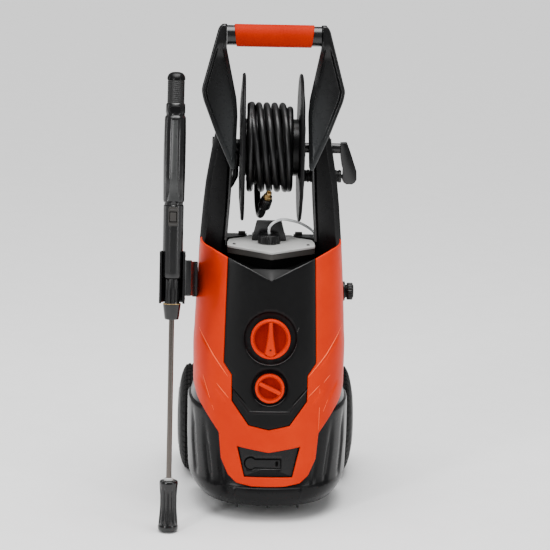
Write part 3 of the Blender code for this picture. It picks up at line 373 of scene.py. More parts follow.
def prism(name, outline, axis, low, high, look, body, stands_for=(), matrix=MACHINE, **options):
    """A flat outline pushed along X, Y or Z; the outline is in the other two axes, in X, Y, Z order."""
    order = {"X": (2, 0, 1), "Y": (0, 2, 1), "Z": (0, 1, 2)}[axis]
    rings = []
    for level in (low, high):
        rings.append([[(a, b, level)[order[i]] for i in range(3)] for a, b in outline])
    return loft(name, rings, look, body, stands_for, matrix, **options)


def along(table, z):
    if z <= table[0][0]:
        return table[0][1]
    for (z0, v0), (z1, v1) in zip(table, table[1:]):
        if z <= z1:
            return v0 + (v1 - v0) * (z - z0) / (z1 - z0)
    return table[-1][1]


def smooth_along(table, z):
    """The table read with its corners eased."""
    reach = 0.02
    return sum(along(table, z + reach * k / 4.0) for k in range(-4, 5)) / 9.0


def ease(low, high, value):
    t = max(0.0, min(1.0, (value - low) / (high - low)))
    return t * t * (3.0 - 2.0 * t)


def mirrored(points):
    return points + [(-x, z) for x, z in reversed(points) if abs(x) > 1e-9]


# --- body skin

def unit_skin():
    """Arc length against turn on a cross-section of the skin, both from 0 to 1."""
    rows = []
    last = Vector((0.0, 0.0))
    length = 0.0
    for k in range(2001):
        turn = k / 2000.0 * pi / 2.0
        p = Vector((0.142 * sin(turn) ** (2.0 / 3.0), 0.155 * (1.0 - max(cos(turn), 0.0) ** (2.0 / 3.0))))
        length += (p - last).length
        last = p
        rows.append((length, turn))
    return [r[0] for r in rows], [r[1] for r in rows]


ARC, TURN = unit_skin()
GIRTH = ARC[-1]


def skin_x(s, z):
    turn = float(np.interp(min(abs(s), GIRTH), ARC, TURN))
    return copysign(smooth_along(COVER_HALF_WIDTH, z) * sin(turn) ** (2.0 / 3.0), s)


def skin_s(x, z):
    part = min(abs(x) / smooth_along(COVER_HALF_WIDTH, z), 1.0)
    return copysign(float(np.interp(asin(part ** 1.5), TURN, ARC)), x)


def skin_point(s, z, depth):
    half = smooth_along(COVER_HALF_WIDTH, z)
    front = smooth_along(COVER_FRONT, z)
    reach = COVER_BACK - front
    turn = float(np.interp(min(abs(s), GIRTH), ARC, TURN))
    sine = sin(turn)
    cosine = max(cos(turn), 0.0)
    x = copysign(half * sine ** (2.0 / 3.0), s)
    y = front + reach * (1.0 - cosine ** (2.0 / 3.0))
    normal = Vector((copysign(sine ** (4.0 / 3.0) / half, s), -(cosine ** (4.0 / 3.0)) / reach, 0.0))
    normal.normalize()
    rise = (smooth_along(COVER_FRONT, z + 0.01) - smooth_along(COVER_FRONT, z - 0.01)) / 0.02
    normal = Vector((normal.x, normal.y, -rise * normal.y * cosine)).normalized()
    return Vector((x, y, z)) - normal * depth


def panel_tilt(z):
    return atan((along(COVER_FRONT, z + 0.03) - along(COVER_FRONT, z - 0.03)) / 0.06)


def on_panel(z):
    front = along(COVER_FRONT, z)
    return at(0.0, front, z) @ Matrix.Rotation(pi / 2.0 - panel_tilt(z), 4, "X")


# --- plates cut from a surface

def split(points, step, closed=True):
    result = []
    ends = points[1:] + points[:1] if closed else points[1:]
    for a, b in zip(points, ends):
        a = Vector(a)
        b = Vector(b)
        count = max(1, ceil((b - a).length / step))
        for k in range(count):
            result.append(tuple(a.lerp(b, k / count)))
    if not closed:
        result.append(tuple(points[-1]))
    return result


def distances(points, line, closed=True):
    """Distance of each point from a line of points."""
    a = np.array(line, float)
    b = np.roll(a, -1, 0)
    if not closed:
        a = a[:-1]
        b = b[:-1]
    d = b - a
    size = np.maximum((d ** 2).sum(1), 1e-14)
    best = np.full(len(points), 1e9)
    for start in range(0, len(points), 2000):
        p = points[start:start + 2000, None, :]
        t = np.clip(((p - a) * d).sum(2) / size, 0.0, 1.0)
        gap = p - (a + t[..., None] * d)
        best[start:start + 2000] = np.sqrt((gap ** 2).sum(2)).min(1)
    return best


def inside(points, loop):
    a = np.array(loop, float)
    b = np.roll(a, -1, 0)
    hit = np.zeros(len(points), bool)
    for (x0, y0), (x1, y1) in zip(a, b):
        if y0 == y1:
            continue
        crosses = (y0 > points[:, 1]) != (y1 > points[:, 1])
        hit ^= crosses & (points[:, 0] < x0 + (x1 - x0) * (points[:, 1] - y0) / (y1 - y0))
    return hit


def inset(loop, gap):
    """A closed loop moved to its left by a gap, corner by corner."""
    result = []
    count = len(loop)
    for i in range(count):
        a = Vector(loop[i - 1])
        b = Vector(loop[i])
        c = Vector(loop[(i + 1) % count])
        n = (b - a).normalized() + (c - b).normalized()
        n = Vector((-n.y, n.x))
        if n.length < 1e-6:
            continue
        n.normalize()
        result.append(tuple(b + n * gap))
    return result


def nearest(points, outlines):
    return np.min([distances(points, loop) for loop in outlines], axis=0)


def on_plate(points, outlines):
    """Inside the first outline and outside the rest, its holes."""
    result = inside(points, outlines[0])
    for hole in outlines[1:]:
        result &= ~inside(points, hole)
    return result


def area(loop):
    return 0.5 * sum(x0 * y1 - x1 * y0 for (x0, y0), (x1, y1) in zip(loop, loop[1:] + loop[:1]))


def plate(name, loops, extra, step, place, relief, wall, edge, look, stands_for):
    """A plate on a surface: loops are its outline and holes in flat coordinates, with rounded front
    edges; relief(points) is each point's depth, and extra points are kept as mesh points."""
    fine = step * 0.6
    outlines = []
    for n, loop in enumerate(loops):
        loop = split(loop, fine)
        if (area(loop) > 0) != (n == 0):
            loop = loop[::-1]
        outlines.append(loop)
    points = []
    edges = []
    for loop in outlines:
        first = len(points)
        points += loop
        edges += [(first + i, first + (i + 1) % len(loop)) for i in range(len(loop))]
    rows = []
    for loop in outlines:
        for share in (0.12, 0.35, 0.68, 1.0):
            rows.append((inset(loop, edge * share), edge * share))
    kept = []
    for row, gap in rows:
        row = np.array(row)
        kept += [tuple(p) for p, d in zip(row, nearest(row, outlines)) if d > gap * 0.9]
    extra = np.array(extra, float).reshape(-1, 2)
    if len(extra):
        extra_kept = (nearest(extra, outlines) > edge * 1.05) & on_plate(extra, outlines)
        kept += [tuple(p) for p in extra[extra_kept]]
    low = np.min(outlines[0], axis=0)
    high = np.max(outlines[0], axis=0)
    xs = np.arange(low[0] + step * 0.5, high[0], step)
    ys = np.arange(low[1] + step * 0.5, high[1], step)
    grid = np.array([(x + (step * 0.5 if j % 2 else 0.0), y) for j, y in enumerate(ys) for x in xs])
    grid = grid[(nearest(grid, outlines) > edge + step * 0.45) & on_plate(grid, outlines)]
    if len(extra):
        tree = kdtree.KDTree(len(extra))
        for i, p in enumerate(extra):
            tree.insert((p[0], p[1], 0.0), i)
        tree.balance()
        grid = [p for p in grid if tree.find((p[0], p[1], 0.0))[2] > step * 0.5]
    points += kept + [tuple(p) for p in grid]
    verts, _, faces, _, _, _ = delaunay_2d_cdt([Vector(p) for p in points], edges, [], 0, 1e-7)
    flat = np.array([tuple(v) for v in verts])
    from_edge = np.maximum(edge - nearest(flat, outlines), 0.0)
    rounding = edge - np.sqrt(np.maximum(edge ** 2 - from_edge ** 2, 0.0))
    depth = np.array(relief(flat)) + rounding
    bm = bmesh.new()
    front = [bm.verts.new(place(p[0], p[1], d)) for p, d in zip(flat, depth)]
    back = [bm.verts.new(place(p[0], p[1], wall)) for p in flat]
    centres = np.array([flat[list(f)].mean(0) for f in faces])
    used = set()
    for face, ok in zip(faces, on_plate(centres, outlines)):
        if not ok:
            continue
        bm.faces.new([front[i] for i in face])
        bm.faces.new([back[i] for i in reversed(face)])
        used |= {(face[0], face[1]), (face[1], face[2]), (face[2], face[0])}
    for a, b in used:
        if (b, a) not in used:
            bm.faces.new((front[b], front[a], back[a], back[b]))
    bmesh.ops.delete(bm, geom=[v for v in bm.verts if not v.link_faces], context="VERTS")
    bm.transform(MACHINE)
    return piece(name, bm, look, "machine", stands_for, sharp=60.0)


def skin_plate(name, outline, holes, extra, step, relief, base, wall, edge, look, stands_for):
    """A plate of the body's skin; everything is given as (x, height) and relief takes x, z, s."""
    loops = []
    for loop in [outline] + holes:
        loops.append([(skin_s(x, z), z) for x, z in split(loop, 0.008)])
    extra = [(skin_s(x, z), z) for x, z in extra]

    def depth(points):
        return [base + relief(skin_x(s, z), z) for s, z in points]

    return plate(name, loops, extra, step, skin_point, depth, base + wall, edge, look, stands_for)


# --- front cover and panel

# start, end, how proud, how far it fades below
CREASES = [((0.13, 0.345), (0.0905, 0.29), 0.0017, 0.06), ((0.129, 0.26), (0.105, 0.22), 0.0012, 0.03),
           ((0.101, 0.252), (0.08, 0.227), 0.0013, 0.03)]


def crease_frame(start, end):
    """A crease's length, its direction, and the direction that falls away from it."""
    run = Vector(end) - Vector(start)
    line = run.normalized()
    down = Vector((-line.y, line.x))
    return run.length, line, -down if down.y > 0 else down


def crease_depth(x, z):
    """Light-catching folds that run down and inward on each side."""
    total = 0.0
    for start, end, proud, fade in CREASES:
        length, line, down = crease_frame(start, end)
        offset = Vector((abs(x), z)) - Vector(start)
        run = offset.dot(line) / length
        drop = offset.dot(down)
        if 0.0 < drop < fade:
            window = ease(-0.12, 0.25, run) * (1.0 - ease(0.85, 1.1, run))
            total -= proud * window * ease(0.0, 0.0022, drop) * (1.0 - ease(0.003, fade, drop))
    return total


def crease_points():
    result = []
    for start, end, *_ in CREASES:
        _, line, down = crease_frame(start, end)
        for k in range(-6, 40):
            p = Vector(start) + line * (k * 0.0025)
            if p.x >= min(start[0], end[0]) - 0.004:
                for drop in (0.0, 0.0008, 0.0016, 0.0024):
                    q = p + down * drop
                    result += [(q.x, q.y), (-q.x, q.y)]
    return [p for p in result if abs(p[0]) < along(COVER_HALF_WIDTH, p[1]) * 0.985]


def front_cover():
    side = [(along(COVER_HALF_WIDTH, z), z) for z in (0.514, 0.46, 0.42, 0.35, 0.29, 0.246)]
    outline = mirrored(PANEL_SIDE + COVER_SIDE + side + COVER_FOOT)
    skin_plate("front_cover.shell", outline, [mirrored(WINDOW)], crease_points(), 0.0055, crease_depth, 0.0,
               0.003, 0.0022, "orange", ["front_cover"])


# fine beads along the folds in lighter orange, a painted highlight: points on the skin, thickness
BEADS = [(mm((-134.5, 356), (-106, 312), (-78, 275)), 0.0012),
         (mm((-130, 284), (-118, 248), (-103, 206)), 0.0008),
         (mm((-100, 261), (-75, 234)), 0.0009),
         (mm((138.5, 364), (106, 316), (71.5, 276)), 0.0012),
         (mm((123, 286), (100.5, 262)), 0.0008),
         (mm((94.5, 260), (71.5, 238)), 0.0009),
         (mm((94.7, 256), (94.5, 215), (93.7, 172)), 0.0007),
         (mm((112.7, 236), (101.5, 207)), 0.0007)]


def streak(name, points, thick, look, depth):
    """A fine bead lying on the skin, thin at both ends, used for painted highlight and painted shade lines."""
    line = []
    for x, z in split(points, 0.004, closed=False):
        line.append(MACHINE @ skin_point(skin_s(x, z), z, depth))
    last = len(line) - 1
    swell = [0.15 + 0.85 * max(sin(pi * k / last), 0.0) ** 0.7 for k in range(last + 1)]
    return curve_piece(name, line, thick, look, "machine", taper=swell)


def folds():
    # lighter orange beads along the cover's folds: painted highlight
    for n, (points, thick) in enumerate(BEADS):
        streak(f"front_cover.fold_{n}", points, thick, "ridge", 0.0002)
    for side, word in SIDES:
        # a pale bead along the panel's V brow: painted highlight
        streak(f"control_panel.brow_{word}", [(0.0, 0.4552), (side * 0.04, 0.4767), (side * 0.0815, 0.4955)],
               0.0009, "edge", 0.0014)
        # a dark line in each groove: painted shade
        streak(f"control_panel.groove_{word}", [(side * 0.0735, 0.259), (side * 0.04, 0.2225)], 0.0013,
               "painted_shadow", 0.0014)
    # a pale line beside the right groove: painted highlight
    streak("control_panel.groove_light", [(0.0758, 0.258), (0.044, 0.223)], 0.0006, "edge", 0.0009)
    # a pale line along the raised step: painted highlight
    streak("control_panel.step", [(-0.0385, 0.2125), (0.0385, 0.2125)], 0.0008, "edge", 0.0008)
    # pale arcs on the lower rims of the knob dishes: painted highlight
    for word, centre, radius, low, high in (("main", MAIN_KNOB_Z, 0.05, 205.0, 352.0),
                                            ("small", SMALL_KNOB_Z, 0.0345, 218.0, 330.0)):
        arc = []
        for k in range(25):
            turn = radians(low + (high - low) * k / 24.0)
            arc.append((radius * cos(turn), centre + radius * sin(turn)))
        streak(f"control_panel.rim_{word}", arc, 0.0007, "edge", 0.0008)


DISHES = [(MAIN_KNOB_Z, 0.05, 0.003), (SMALL_KNOB_Z, 0.0345, 0.0026)]
RAISED = mm((0, 210.5), (37, 210.5), (40, 215), (71.5, 256), (90, 300), (90, 500), (0, 500))


def panel_depth(x, z):
    depth = 0.0
    for centre, radius, deep in DISHES:
        away = hypot(x, z - centre)
        depth += deep * (1.0 - ease(radius - 0.0028, radius, away))
    point = np.array([(abs(x), z)])
    if not inside(point, RAISED)[0]:
        line = RAISED[:6]
        gap = float(distances(point, line, closed=False)[0])
        depth += 0.0026 * ease(0.0, 0.0022, gap)
    return depth


def panel_points():
    result = []
    for centre, radius, _ in DISHES:
        for k in range(120):
            turn = 2.0 * pi * k / 120
            for gap in (0.0, 0.0009, 0.0019, 0.0028):
                r = radius - gap
                result.append((r * cos(turn), centre + r * sin(turn)))
    line = split(RAISED[:5], 0.0022, closed=False)
    for (x0, z0), (x1, z1) in zip(line, line[1:]):
        n = Vector((z1 - z0, x0 - x1)).normalized()
        for gap in (0.0, 0.0008, 0.0015, 0.0023):
            q = Vector((x0, z0)) + n * gap
            result += [(q.x, q.y), (-q.x, q.y)]
    return result


def control_panel():
    seam = 0.0007
    right = [(0.0, PANEL_SIDE[0][1] + seam)]
    right += [(x - seam, z + seam * 0.6) for x, z in PANEL_SIDE[1:-1]]
    right += [(PANEL_SIDE[-1][0] - seam, PANEL_SIDE[-1][1]), (0.04, 0.4775), (0.0, 0.456)]
    skin_plate("control_panel.face", mirrored(right), [], panel_points(), 0.005, panel_depth, 0.0008, 0.0042,
               0.0012, "panel", ["control_panel"])


def panel_scoop():
    """The panel's dished top: a slope up from the brow with painted light, then a gap under the tank with painted
    shadow.
    """
    levels = ((0.0, 0.0), (0.35, 0.38), (0.7, 0.76), (1.0, 1.0))
    crest = 0.4712
    # the slope's lighter look is painted light and the gap's near-black is painted shadow
    for name, look, start, end in (("panel_scoop", "scoop", (0.0, 0.0), (0.032, 1.0)),
                                   ("panel_gap", "painted_shadow", (0.0315, 1.0), (0.09, 0.4))):
        bm = bmesh.new()
        rows = []
        for drop in (0.0, 0.0015):
            sheet = []
            for share, rise in levels:
                row = []
                for i in range(33):
                    x = -0.0815 + 0.163 * i / 32.0
                    brow = 0.456 + 0.54 * abs(x) if abs(x) < 0.04 else 0.4775 + 0.447 * (abs(x) - 0.04)
                    edge = skin_point(skin_s(x, brow - 0.0012), brow - 0.0012, 0.0026)
                    inward = 1.0 - 0.55 * ease(0.02, 0.082, abs(x))
                    back = (start[0] + (end[0] - start[0]) * share) * inward
                    lift = start[1] + (end[1] - start[1]) * rise
                    height = edge.z + (crest - edge.z) * lift - drop
                    row.append(bm.verts.new((x * (1.0 - 0.1 * share * ease(0.05, 0.08, abs(x))),
                                             edge.y + back, min(height, 0.4885))))
                sheet.append(row)
            rows.append(sheet)
        rims = []
        for sheet in rows:
            quads(bm, sheet)
            rims.append(sheet[0] + [row[-1] for row in sheet[1:]] + sheet[-1][-2::-1]
                        + [row[0] for row in sheet[-2::-1]])
        quads(bm, rims)
        bm.transform(MACHINE)
        piece(name, bm, look, "machine", sharp=50.0)
    wall = mm((-81, -64), (-54, -81), (0, -102), (54, -81), (81, -64), (79, -60), (54, -76.5), (0, -97.5),
              (-54, -76.5), (-79, -60))
    # a near-black wall behind the gap: painted shadow
    prism("panel_gap.back", wall, "Z", 0.46, 0.49, "painted_shadow", "machine")


def keyhole_outline():
    """Round end at the left, running into a bar."""
    centre = (-0.0335, 0.113)
    radius = 0.0115
    points = [(0.0235, 0.104), (0.0235, 0.1215)]
    for k in range(25):
        turn = radians(45.0 + 270.0 * k / 24.0)
        points.append((centre[0] + radius * cos(turn), centre[1] + radius * sin(turn)))
    return points


def pocket_tray():
    lip = mirrored(mm((0, 138), (63, 149.5), (49, 85), (0, 84.8)))
    shape = keyhole_outline()
    slot = mm((14, 108.5), (18.5, 108.5), (18.5, 118), (14, 118))
    extra = []
    for loop, gaps in ((shape, (-0.0022, -0.001, 0.0, 0.0012)), (slot, (-0.0008, 0.0, 0.0008))):
        dense = split(loop, 0.0015)
        if area(dense) < 0:
            dense = dense[::-1]
        for gap in gaps:
            extra += inset(dense, gap)

    def depth(x, z):
        point = np.array([(x, z)])
        gap = float(distances(point, shape)[0])
        if inside(point, shape)[0]:
            deep = 0.006 - 0.0035 * ease(0.0, 0.0012, gap)
            within = inside(point, slot)[0]
            return deep + (0.003 if within else 0.0)
        return 0.004 + 0.002 * (1.0 - ease(0.001, 0.0022, gap))

    skin_plate("pocket_tray.dish", lip, [], extra, 0.0035, depth, 0.004, 0.012, 0.0005, "black",
               ["pocket_tray"])


def pocket_lines():
    """Painted shade along the keyhole moulding's outline and slot, and a painted highlight on its lower lip."""
    shape = keyhole_outline()
    streak("pocket_tray.outline", shape + shape[:1], 0.001, "painted_shadow", 0.0082)
    streak("pocket_tray.lip", [(-0.025, 0.1022), (0.024, 0.1022)], 0.0007, "edge", 0.0078)
    streak("pocket_tray.slot", [(0.0163, 0.108), (0.0163, 0.1185)], 0.0022, "painted_shadow", 0.007)


def marks():
    """Pointer tick beside the main dial."""
    place = on_panel(MAIN_KNOB_Z)
    outline = mm((49.2, 13), (49.9, 12.7), (53.2, 21.2), (52.5, 21.5))
    prism("dial_tick", outline, "Z", -0.0012, 0.0003, "edge", "machine", matrix=place, bevel=0.0002)


# --- knobs

def knob(name, z, radius, height, web_turn, flare):
    """Dial with a turned rim, a sunk face and a raised finger web that widens to one end."""
    place = on_panel(z)
    base = 0.0014
    top = base + height * 0.86
    floor = base + height * 0.16
    wall = radius - 0.0052
    profile = [(0.0, base), (radius - 0.0006, base), (radius, base + 0.001), (radius - 0.0004, top - 0.0022),
               (radius - 0.0012, top - 0.0006), (radius - 0.0026, top), (radius - 0.004, top - 0.0006),
               (wall, top - 0.0024), (wall - 0.0012, floor + 0.0016), (wall - 0.003, floor), (0.0, floor)]
    lathe(f"{name}.dial", profile, 96, "orange", name, [name], place, sharp=50.0)
    # the sunk well is a darker orange: painted shade in the recess
    lathe(f"{name}.well", [(0.0, floor - 0.0003), (wall - 0.0028, floor - 0.0003),
                           (wall - 0.0022, floor + 0.0008), (wall - 0.0034, floor + 0.0004),
                           (0.0, floor + 0.0003)], 72, "deep", name, (), place)
    half = wall - 0.0004
    rows = []
    for k in range(17):
        share = k / 16.0
        y = -half + 2.0 * half * share
        width = 0.004 + flare * (1.0 - share) ** 1.8
        reach = sqrt(max(wall ** 2 - y ** 2, 1e-8))
        width = min(width, reach - 0.0003)
        width = max(width, 0.0004)
        crown = base + height * 0.98 - 0.0016 * (2.0 * share - 1.0) ** 2
        rows.append([(-width, y, floor - 0.0004), (-width * 0.86, y, crown - 0.0022),
                     (-width * 0.62, y, crown), (width * 0.62, y, crown), (width * 0.86, y, crown - 0.0022),
                     (width, y, floor - 0.0004)])
    bm = bmesh.new()
    add_loft(bm, rows)
    bm.transform(place @ Matrix.Rotation(web_turn, 4, "Z"))
    piece(f"{name}.web", bm, "orange", name, bevel=0.0007, sharp=30.0)
    if flare > 0.004:
        dot = place @ Matrix.Rotation(web_turn, 4, "Z") @ Matrix.Translation((0.0, -half * 0.62, 0.0))
        lathe(f"{name}.dot", [(0.0, top - 0.004), (0.0017, top - 0.004), (0.0017, base + height * 0.985),
                              (0.0, base + height * 0.985)], 24, "black", name, (), dot, bevel=0.0002)


# --- base

BASE_LEVELS = mm((30, 130, -178), (31.5, 134.5, -181.5), (36, 138, -184), (41, 142.5, -186.6),
                 (46, 146.2, -188.5), (53, 149.6, -188.9), (60, 152, -188.5), (65.5, 153, -187.2),
                 (68.5, 153.2, -183.8), (72, 153.5, -182.2), (85, 153.9, -179.5), (100, 154.5, -177.7),
                 (115, 155, -176), (130, 155.5, -174.5), (150, 155.5, -172.2), (170, 155.5, -169.5),
                 (188, 155.4, -167.2), (198, 155, -166), (203, 153.5, -165.5), (206, 150, -164.8),
                 (206.5, 140, -163.5), (250, 139, -160))
# place round the front, half width, low, high, depth
FLUTES = [(0.37, 0.02, 0.06, 0.16, 0.0022), (0.47, 0.032, 0.062, 0.185, 0.0046),
          (0.62, 0.04, 0.064, 0.2, 0.0052)]


def base_ring(z, half, front, gap, shaped):
    half -= gap
    front += gap
    reach = 0.02 - front
    ring = []
    count = 110
    for k in range(-count, count + 1):
        share = abs(k) / count
        turn = float(np.interp(share * GIRTH, ARC, TURN))
        sine = sin(turn) ** (2.0 / 2.65)
        cosine = max(cos(turn), 0.0) ** (2.0 / 2.65)
        x = copysign(half * sine, k)
        y = front + reach * (1.0 - cosine)
        if shaped:
            for middle, width, low, high, deep in FLUTES:
                lean = middle + (z - 0.13) * 0.55
                pull = deep * (1.0 - ease(0.0, width, abs(share - lean)))
                pull *= ease(low, low + 0.03, z) * (1.0 - ease(high - 0.06, high, z))
                x -= copysign(pull * sine, k)
                y += pull * cosine
            if z < 0.066:
                band = ease(0.0405, 0.044, z) * (1.0 - ease(0.06, 0.066, z))
                pull = -0.0016 * band * (1.0 - ease(0.0, 0.0075, abs(share - 0.262)))
                x -= copysign(pull * sine, k)
                y += pull * cosine
        ring.append((x, y, z))
    rear = 0.1255 - gap
    back = 0.185 - gap
    side_end = 0.028 - gap
    right = [(half, side_end), (half - 0.004, side_end + 0.004), (rear, side_end + 0.004), (rear, 0.1),
             (rear, back - 0.025), (rear - 0.003, back - 0.014), (rear - 0.008, back - 0.008),
             (rear - 0.014, back - 0.003), (rear - 0.025, back)]
    return ring + [(x, y, z) for x, y in right] + [(-x, y, z) for x, y in reversed(right)]


def base_tub():
    rings = [base_ring(z, half, front, 0.0, True) for z, half, front in BASE_LEVELS]
    inner = reversed(BASE_LEVELS[1::4])
    rings += [base_ring(max(z, 0.034), half, front, 0.003, False) for z, half, front in inner]
    loft("base_tub.shell", rings, "gloss", "machine", ["base_tub"], sharp=32.0)
    for n, x in enumerate((-0.057, 0.0, 0.057)):
        front = -0.178 + 0.004
        lathe(f"skirt_pin_{n}", mm((0, 24.5), (1.6, 24.5), (2.4, 31), (0, 31)), 16, "black", "machine",
              (), at(x, front + abs(x) * 0.06, 0.0))


# --- rear housing and columns

def rear_housing():
    """Back cover with louvred vents in its rear wall."""
    back = 0.1535
    wall = mm((118, 48), (118, 80), (118, 100), (118, 113.5), (116, 125.5), (112, 135.5), (105, 144.5),
              (96, 149.5), (85, 152.5), (73, 153.5), (62, 153.5), (56, 153.5))
    outer = wall + [(-x, y) for x, y in reversed(wall)]
    normals = []
    for i, p in enumerate(outer):
        a = Vector(outer[max(i - 1, 0)])
        b = Vector(outer[min(i + 1, len(outer) - 1)])
        d = (b - a).normalized()
        normals.append(Vector((d.y, -d.x)))
    vents = ((0.3, 0.352), (0.388, 0.44))
    pitch = 0.0104
    levels = [0.217 + 0.0021 * k for k in range(128)] + [0.4858]
    rings = []
    for z in levels:
        row = []
        for x, y in outer:
            deep = 0.0
            if abs(x) <= 0.0565 and y > back - 0.001:
                for low, high in vents:
                    if low < z < high:
                        deep = 0.0035 * (((z - low) / pitch) % 1.0)
            row.append(Vector((x, y, z)) - Vector((0.0, deep, 0.0)))
        rings.append(row)
    bm = bmesh.new()
    thick = 0.003
    outside = [[bm.verts.new(p) for p in row] for row in rings]
    within = []
    for z in levels:
        row = []
        for (x, y), n in zip(outer, normals):
            sign = 1.0 if n.dot(Vector((x, y - 0.06))) < 0 else -1.0
            row.append(bm.verts.new((x + sign * n.x * thick, y + sign * n.y * thick - 0.0012, min(z, 0.483))))
        within.append(row)
    for sheet in (outside, within, [outside[0], within[0]]):
        quads(bm, sheet)
    for i in (0, -1):
        quads(bm, [[row[i] for row in outside], [row[i] for row in within]])
    bm.faces.new(list(outside[-1]))
    bm.faces.new(list(reversed(within[-1])))
    bm.faces.new((outside[-1][0], outside[-1][-1], within[-1][-1], within[-1][0]))
    bm.transform(MACHINE)
    piece("rear_housing.shell", bm, "black", "machine", ["rear_housing"], sharp=30.0)


# --- wheels

def wheel(side, body, word):
    middle = side * 0.155
    place = at(middle, 0.17, 0.107) @ Matrix.Rotation(0.0 if side > 0 else pi, 4, "Z")
    profile = mm((74, -20), (88, -22), (98, -23), (102, -20.4), (104.5, -16), (106.2, -11), (107, -6.2),
                 (104.6, -5.2), (104.6, -3.6), (107, -2.6), (107, 1.5), (104.8, 3.4), (104.6, 5),
                 (105.8, 5.8), (104, 7), (101.2, 8.7), (97.8, 10.7), (93.5, 12.7), (90.5, 13.8), (89.5, 13),
                 (88.5, 14.4), (82, 16.2), (77, 17.4), (74, 17.6))

    def tread(turn, r, h):
        if r < 0.1 or abs(h + 0.0044) < 0.001:
            return r
        notch = abs(((turn * 54.0 / (2.0 * pi) + (0.25 if h > -0.004 else 0.0)) % 1.0) - 0.5)
        return r - 0.002 * ease(0.36, 0.44, notch)

    lathe(f"tyre_{word}.tread", profile, 432, "tyre", body, [f"tyre_{word}"], place, "X", tread, sharp=30.0)
    hub = mm((7.8, -22), (18, -22), (18, 18.5), (54, 17), (68.7, 12), (69.7, -18), (73.7, -18), (73.7, 17.6),
             (72.7, 18.2), (66, 19.7), (64, 18.6), (60, 19), (58, 21.1), (44, 22.2), (30, 23), (27.5, 23),
             (26, 21.2), (23.5, 21.2), (22, 22.8), (12, 23), (0, 23), (0, 12.5), (7.8, 12.5))
    lathe(f"hub_{word}.disc", hub, 144, "black", body, [f"hub_{word}"], place, "X", bevel=0.0005)
    for k in range(12):
        fin = place @ Matrix.Rotation(2.0 * pi * (k + 0.5) / 12, 4, "X")
        rings = []
        for z, half, sink in ((0.032, 0.0034, 0.001), (0.044, 0.0046, 0.0018), (0.057, 0.0058, 0.0028)):
            top = 0.0238 - sink
            rings.append([(0.0165, -half, z), (top, -half * 0.8, z), (top, half * 0.8, z), (0.0165, half, z)])
        loft(f"hub_{word}.fin_{k}", rings, "black", body, (), fin, bevel=0.0005, sharp=25.0)


# --- tank

def tank():
    """Pale roof plate with notched shoulders over its darker edge, and the pale body hanging inside."""
    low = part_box("tank_cap")[0].z - 0.0015
    roof = mm((0, -112), (83, -70), (83, -30), (79, -4), (50, 16), (46, 24), (43, 43), (0, 43))
    plan = eased_corners(mirrored(roof), 0.0045, 4)
    prism("detergent_tank.plate", plan, "Z", low - 0.0048, low, "grey", "machine", ["detergent_tank"],
          bevel=0.0012, sharp=30.0)
    prism("detergent_tank.edge", [(x * 0.992, y * 0.992) for x, y in plan], "Z", low - 0.0158, low - 0.0049,
          "skirt", "machine", bevel=0.0012, sharp=30.0)
    for ob in (bpy.data.objects["detergent_tank.plate"], bpy.data.objects["detergent_tank.edge"]):
        for v in ob.data.vertices:
            v.co.z -= 0.005 * (1.0 - ease(-0.112, -0.074, v.co.y - SHIFT.y) ** 0.6)
    body = eased_corners(mirrored(mm((0, -96), (52, -75), (60, -60), (60, 12), (40, 30), (38, 42), (0, 42))),
                         0.008, 4)
    prism("detergent_tank.body", body, "Z", 0.335, low - 0.0215, "grey", "machine", bevel=0.004, sharp=40.0)
    prism("detergent_tank.ridge", eased_corners(mm((-36, 31), (30, 31), (27, 42), (-33, 42)), 0.003), "Z",
          low - 0.0005, low + 0.006, "grey", "machine", bevel=0.0016, sharp=30.0)
    neck = at(-0.004, -0.046, low)
    lathe("detergent_tank.neck", mm((14.5, -1), (19.5, -1), (18, 1), (16.6, 1.4), (16.6, 11.8), (14.5, 11.8)),
          64, "grey", "machine", (), neck)
    for n, x in enumerate((-0.07, 0.07)):
        place = at(x, -0.061, low)
        lathe(f"tank_screw_{n}", mm((0, -1), (3, -1), (3, 1.2), (2.2, 2), (0, 2)), 24, "skirt", "machine",
              (), place)
    for side, word in SIDES:
        ledge = mm((47.5, 25.5), (52, 18), (80.5, -1), (84.5, -8.5), (85.2, -8.5), (85.2, 43), (45, 43))
        prism(f"rear_housing.ledge_{word}", [(side * x, y) for x, y in ledge], "Z", 0.4865, low + 0.0022,
              "black", "machine", bevel=0.0012, sharp=30.0)
        lug = mm((48, 33), (62, 33), (62, 42), (48, 42))
        prism(f"rear_housing.lug_{word}", [(side * x, y) for x, y in lug], "Z", low + 0.002, low + 0.007,
              "skirt", "machine", bevel=0.001, sharp=30.0)


def tank_cap():
    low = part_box("tank_cap")[0].z
    place = at(-0.004, -0.046, low)
    profile = mm((17.3, 0), (21.3, 0), (21.5, 1), (21.5, 11.5), (20.5, 14), (18.5, 15.7), (15, 16), (14, 15),
                 (0, 15), (0, 10.8), (17.3, 10.8))
    ribs = fluted(30.0, 0.0009, 0.0204, 0.0008, 1.0)
    lathe("tank_cap.ribbed", profile, 240, "black", "tank_cap", ["tank_cap"], place, "Z", ribs, sharp=40.0)


# --- reel

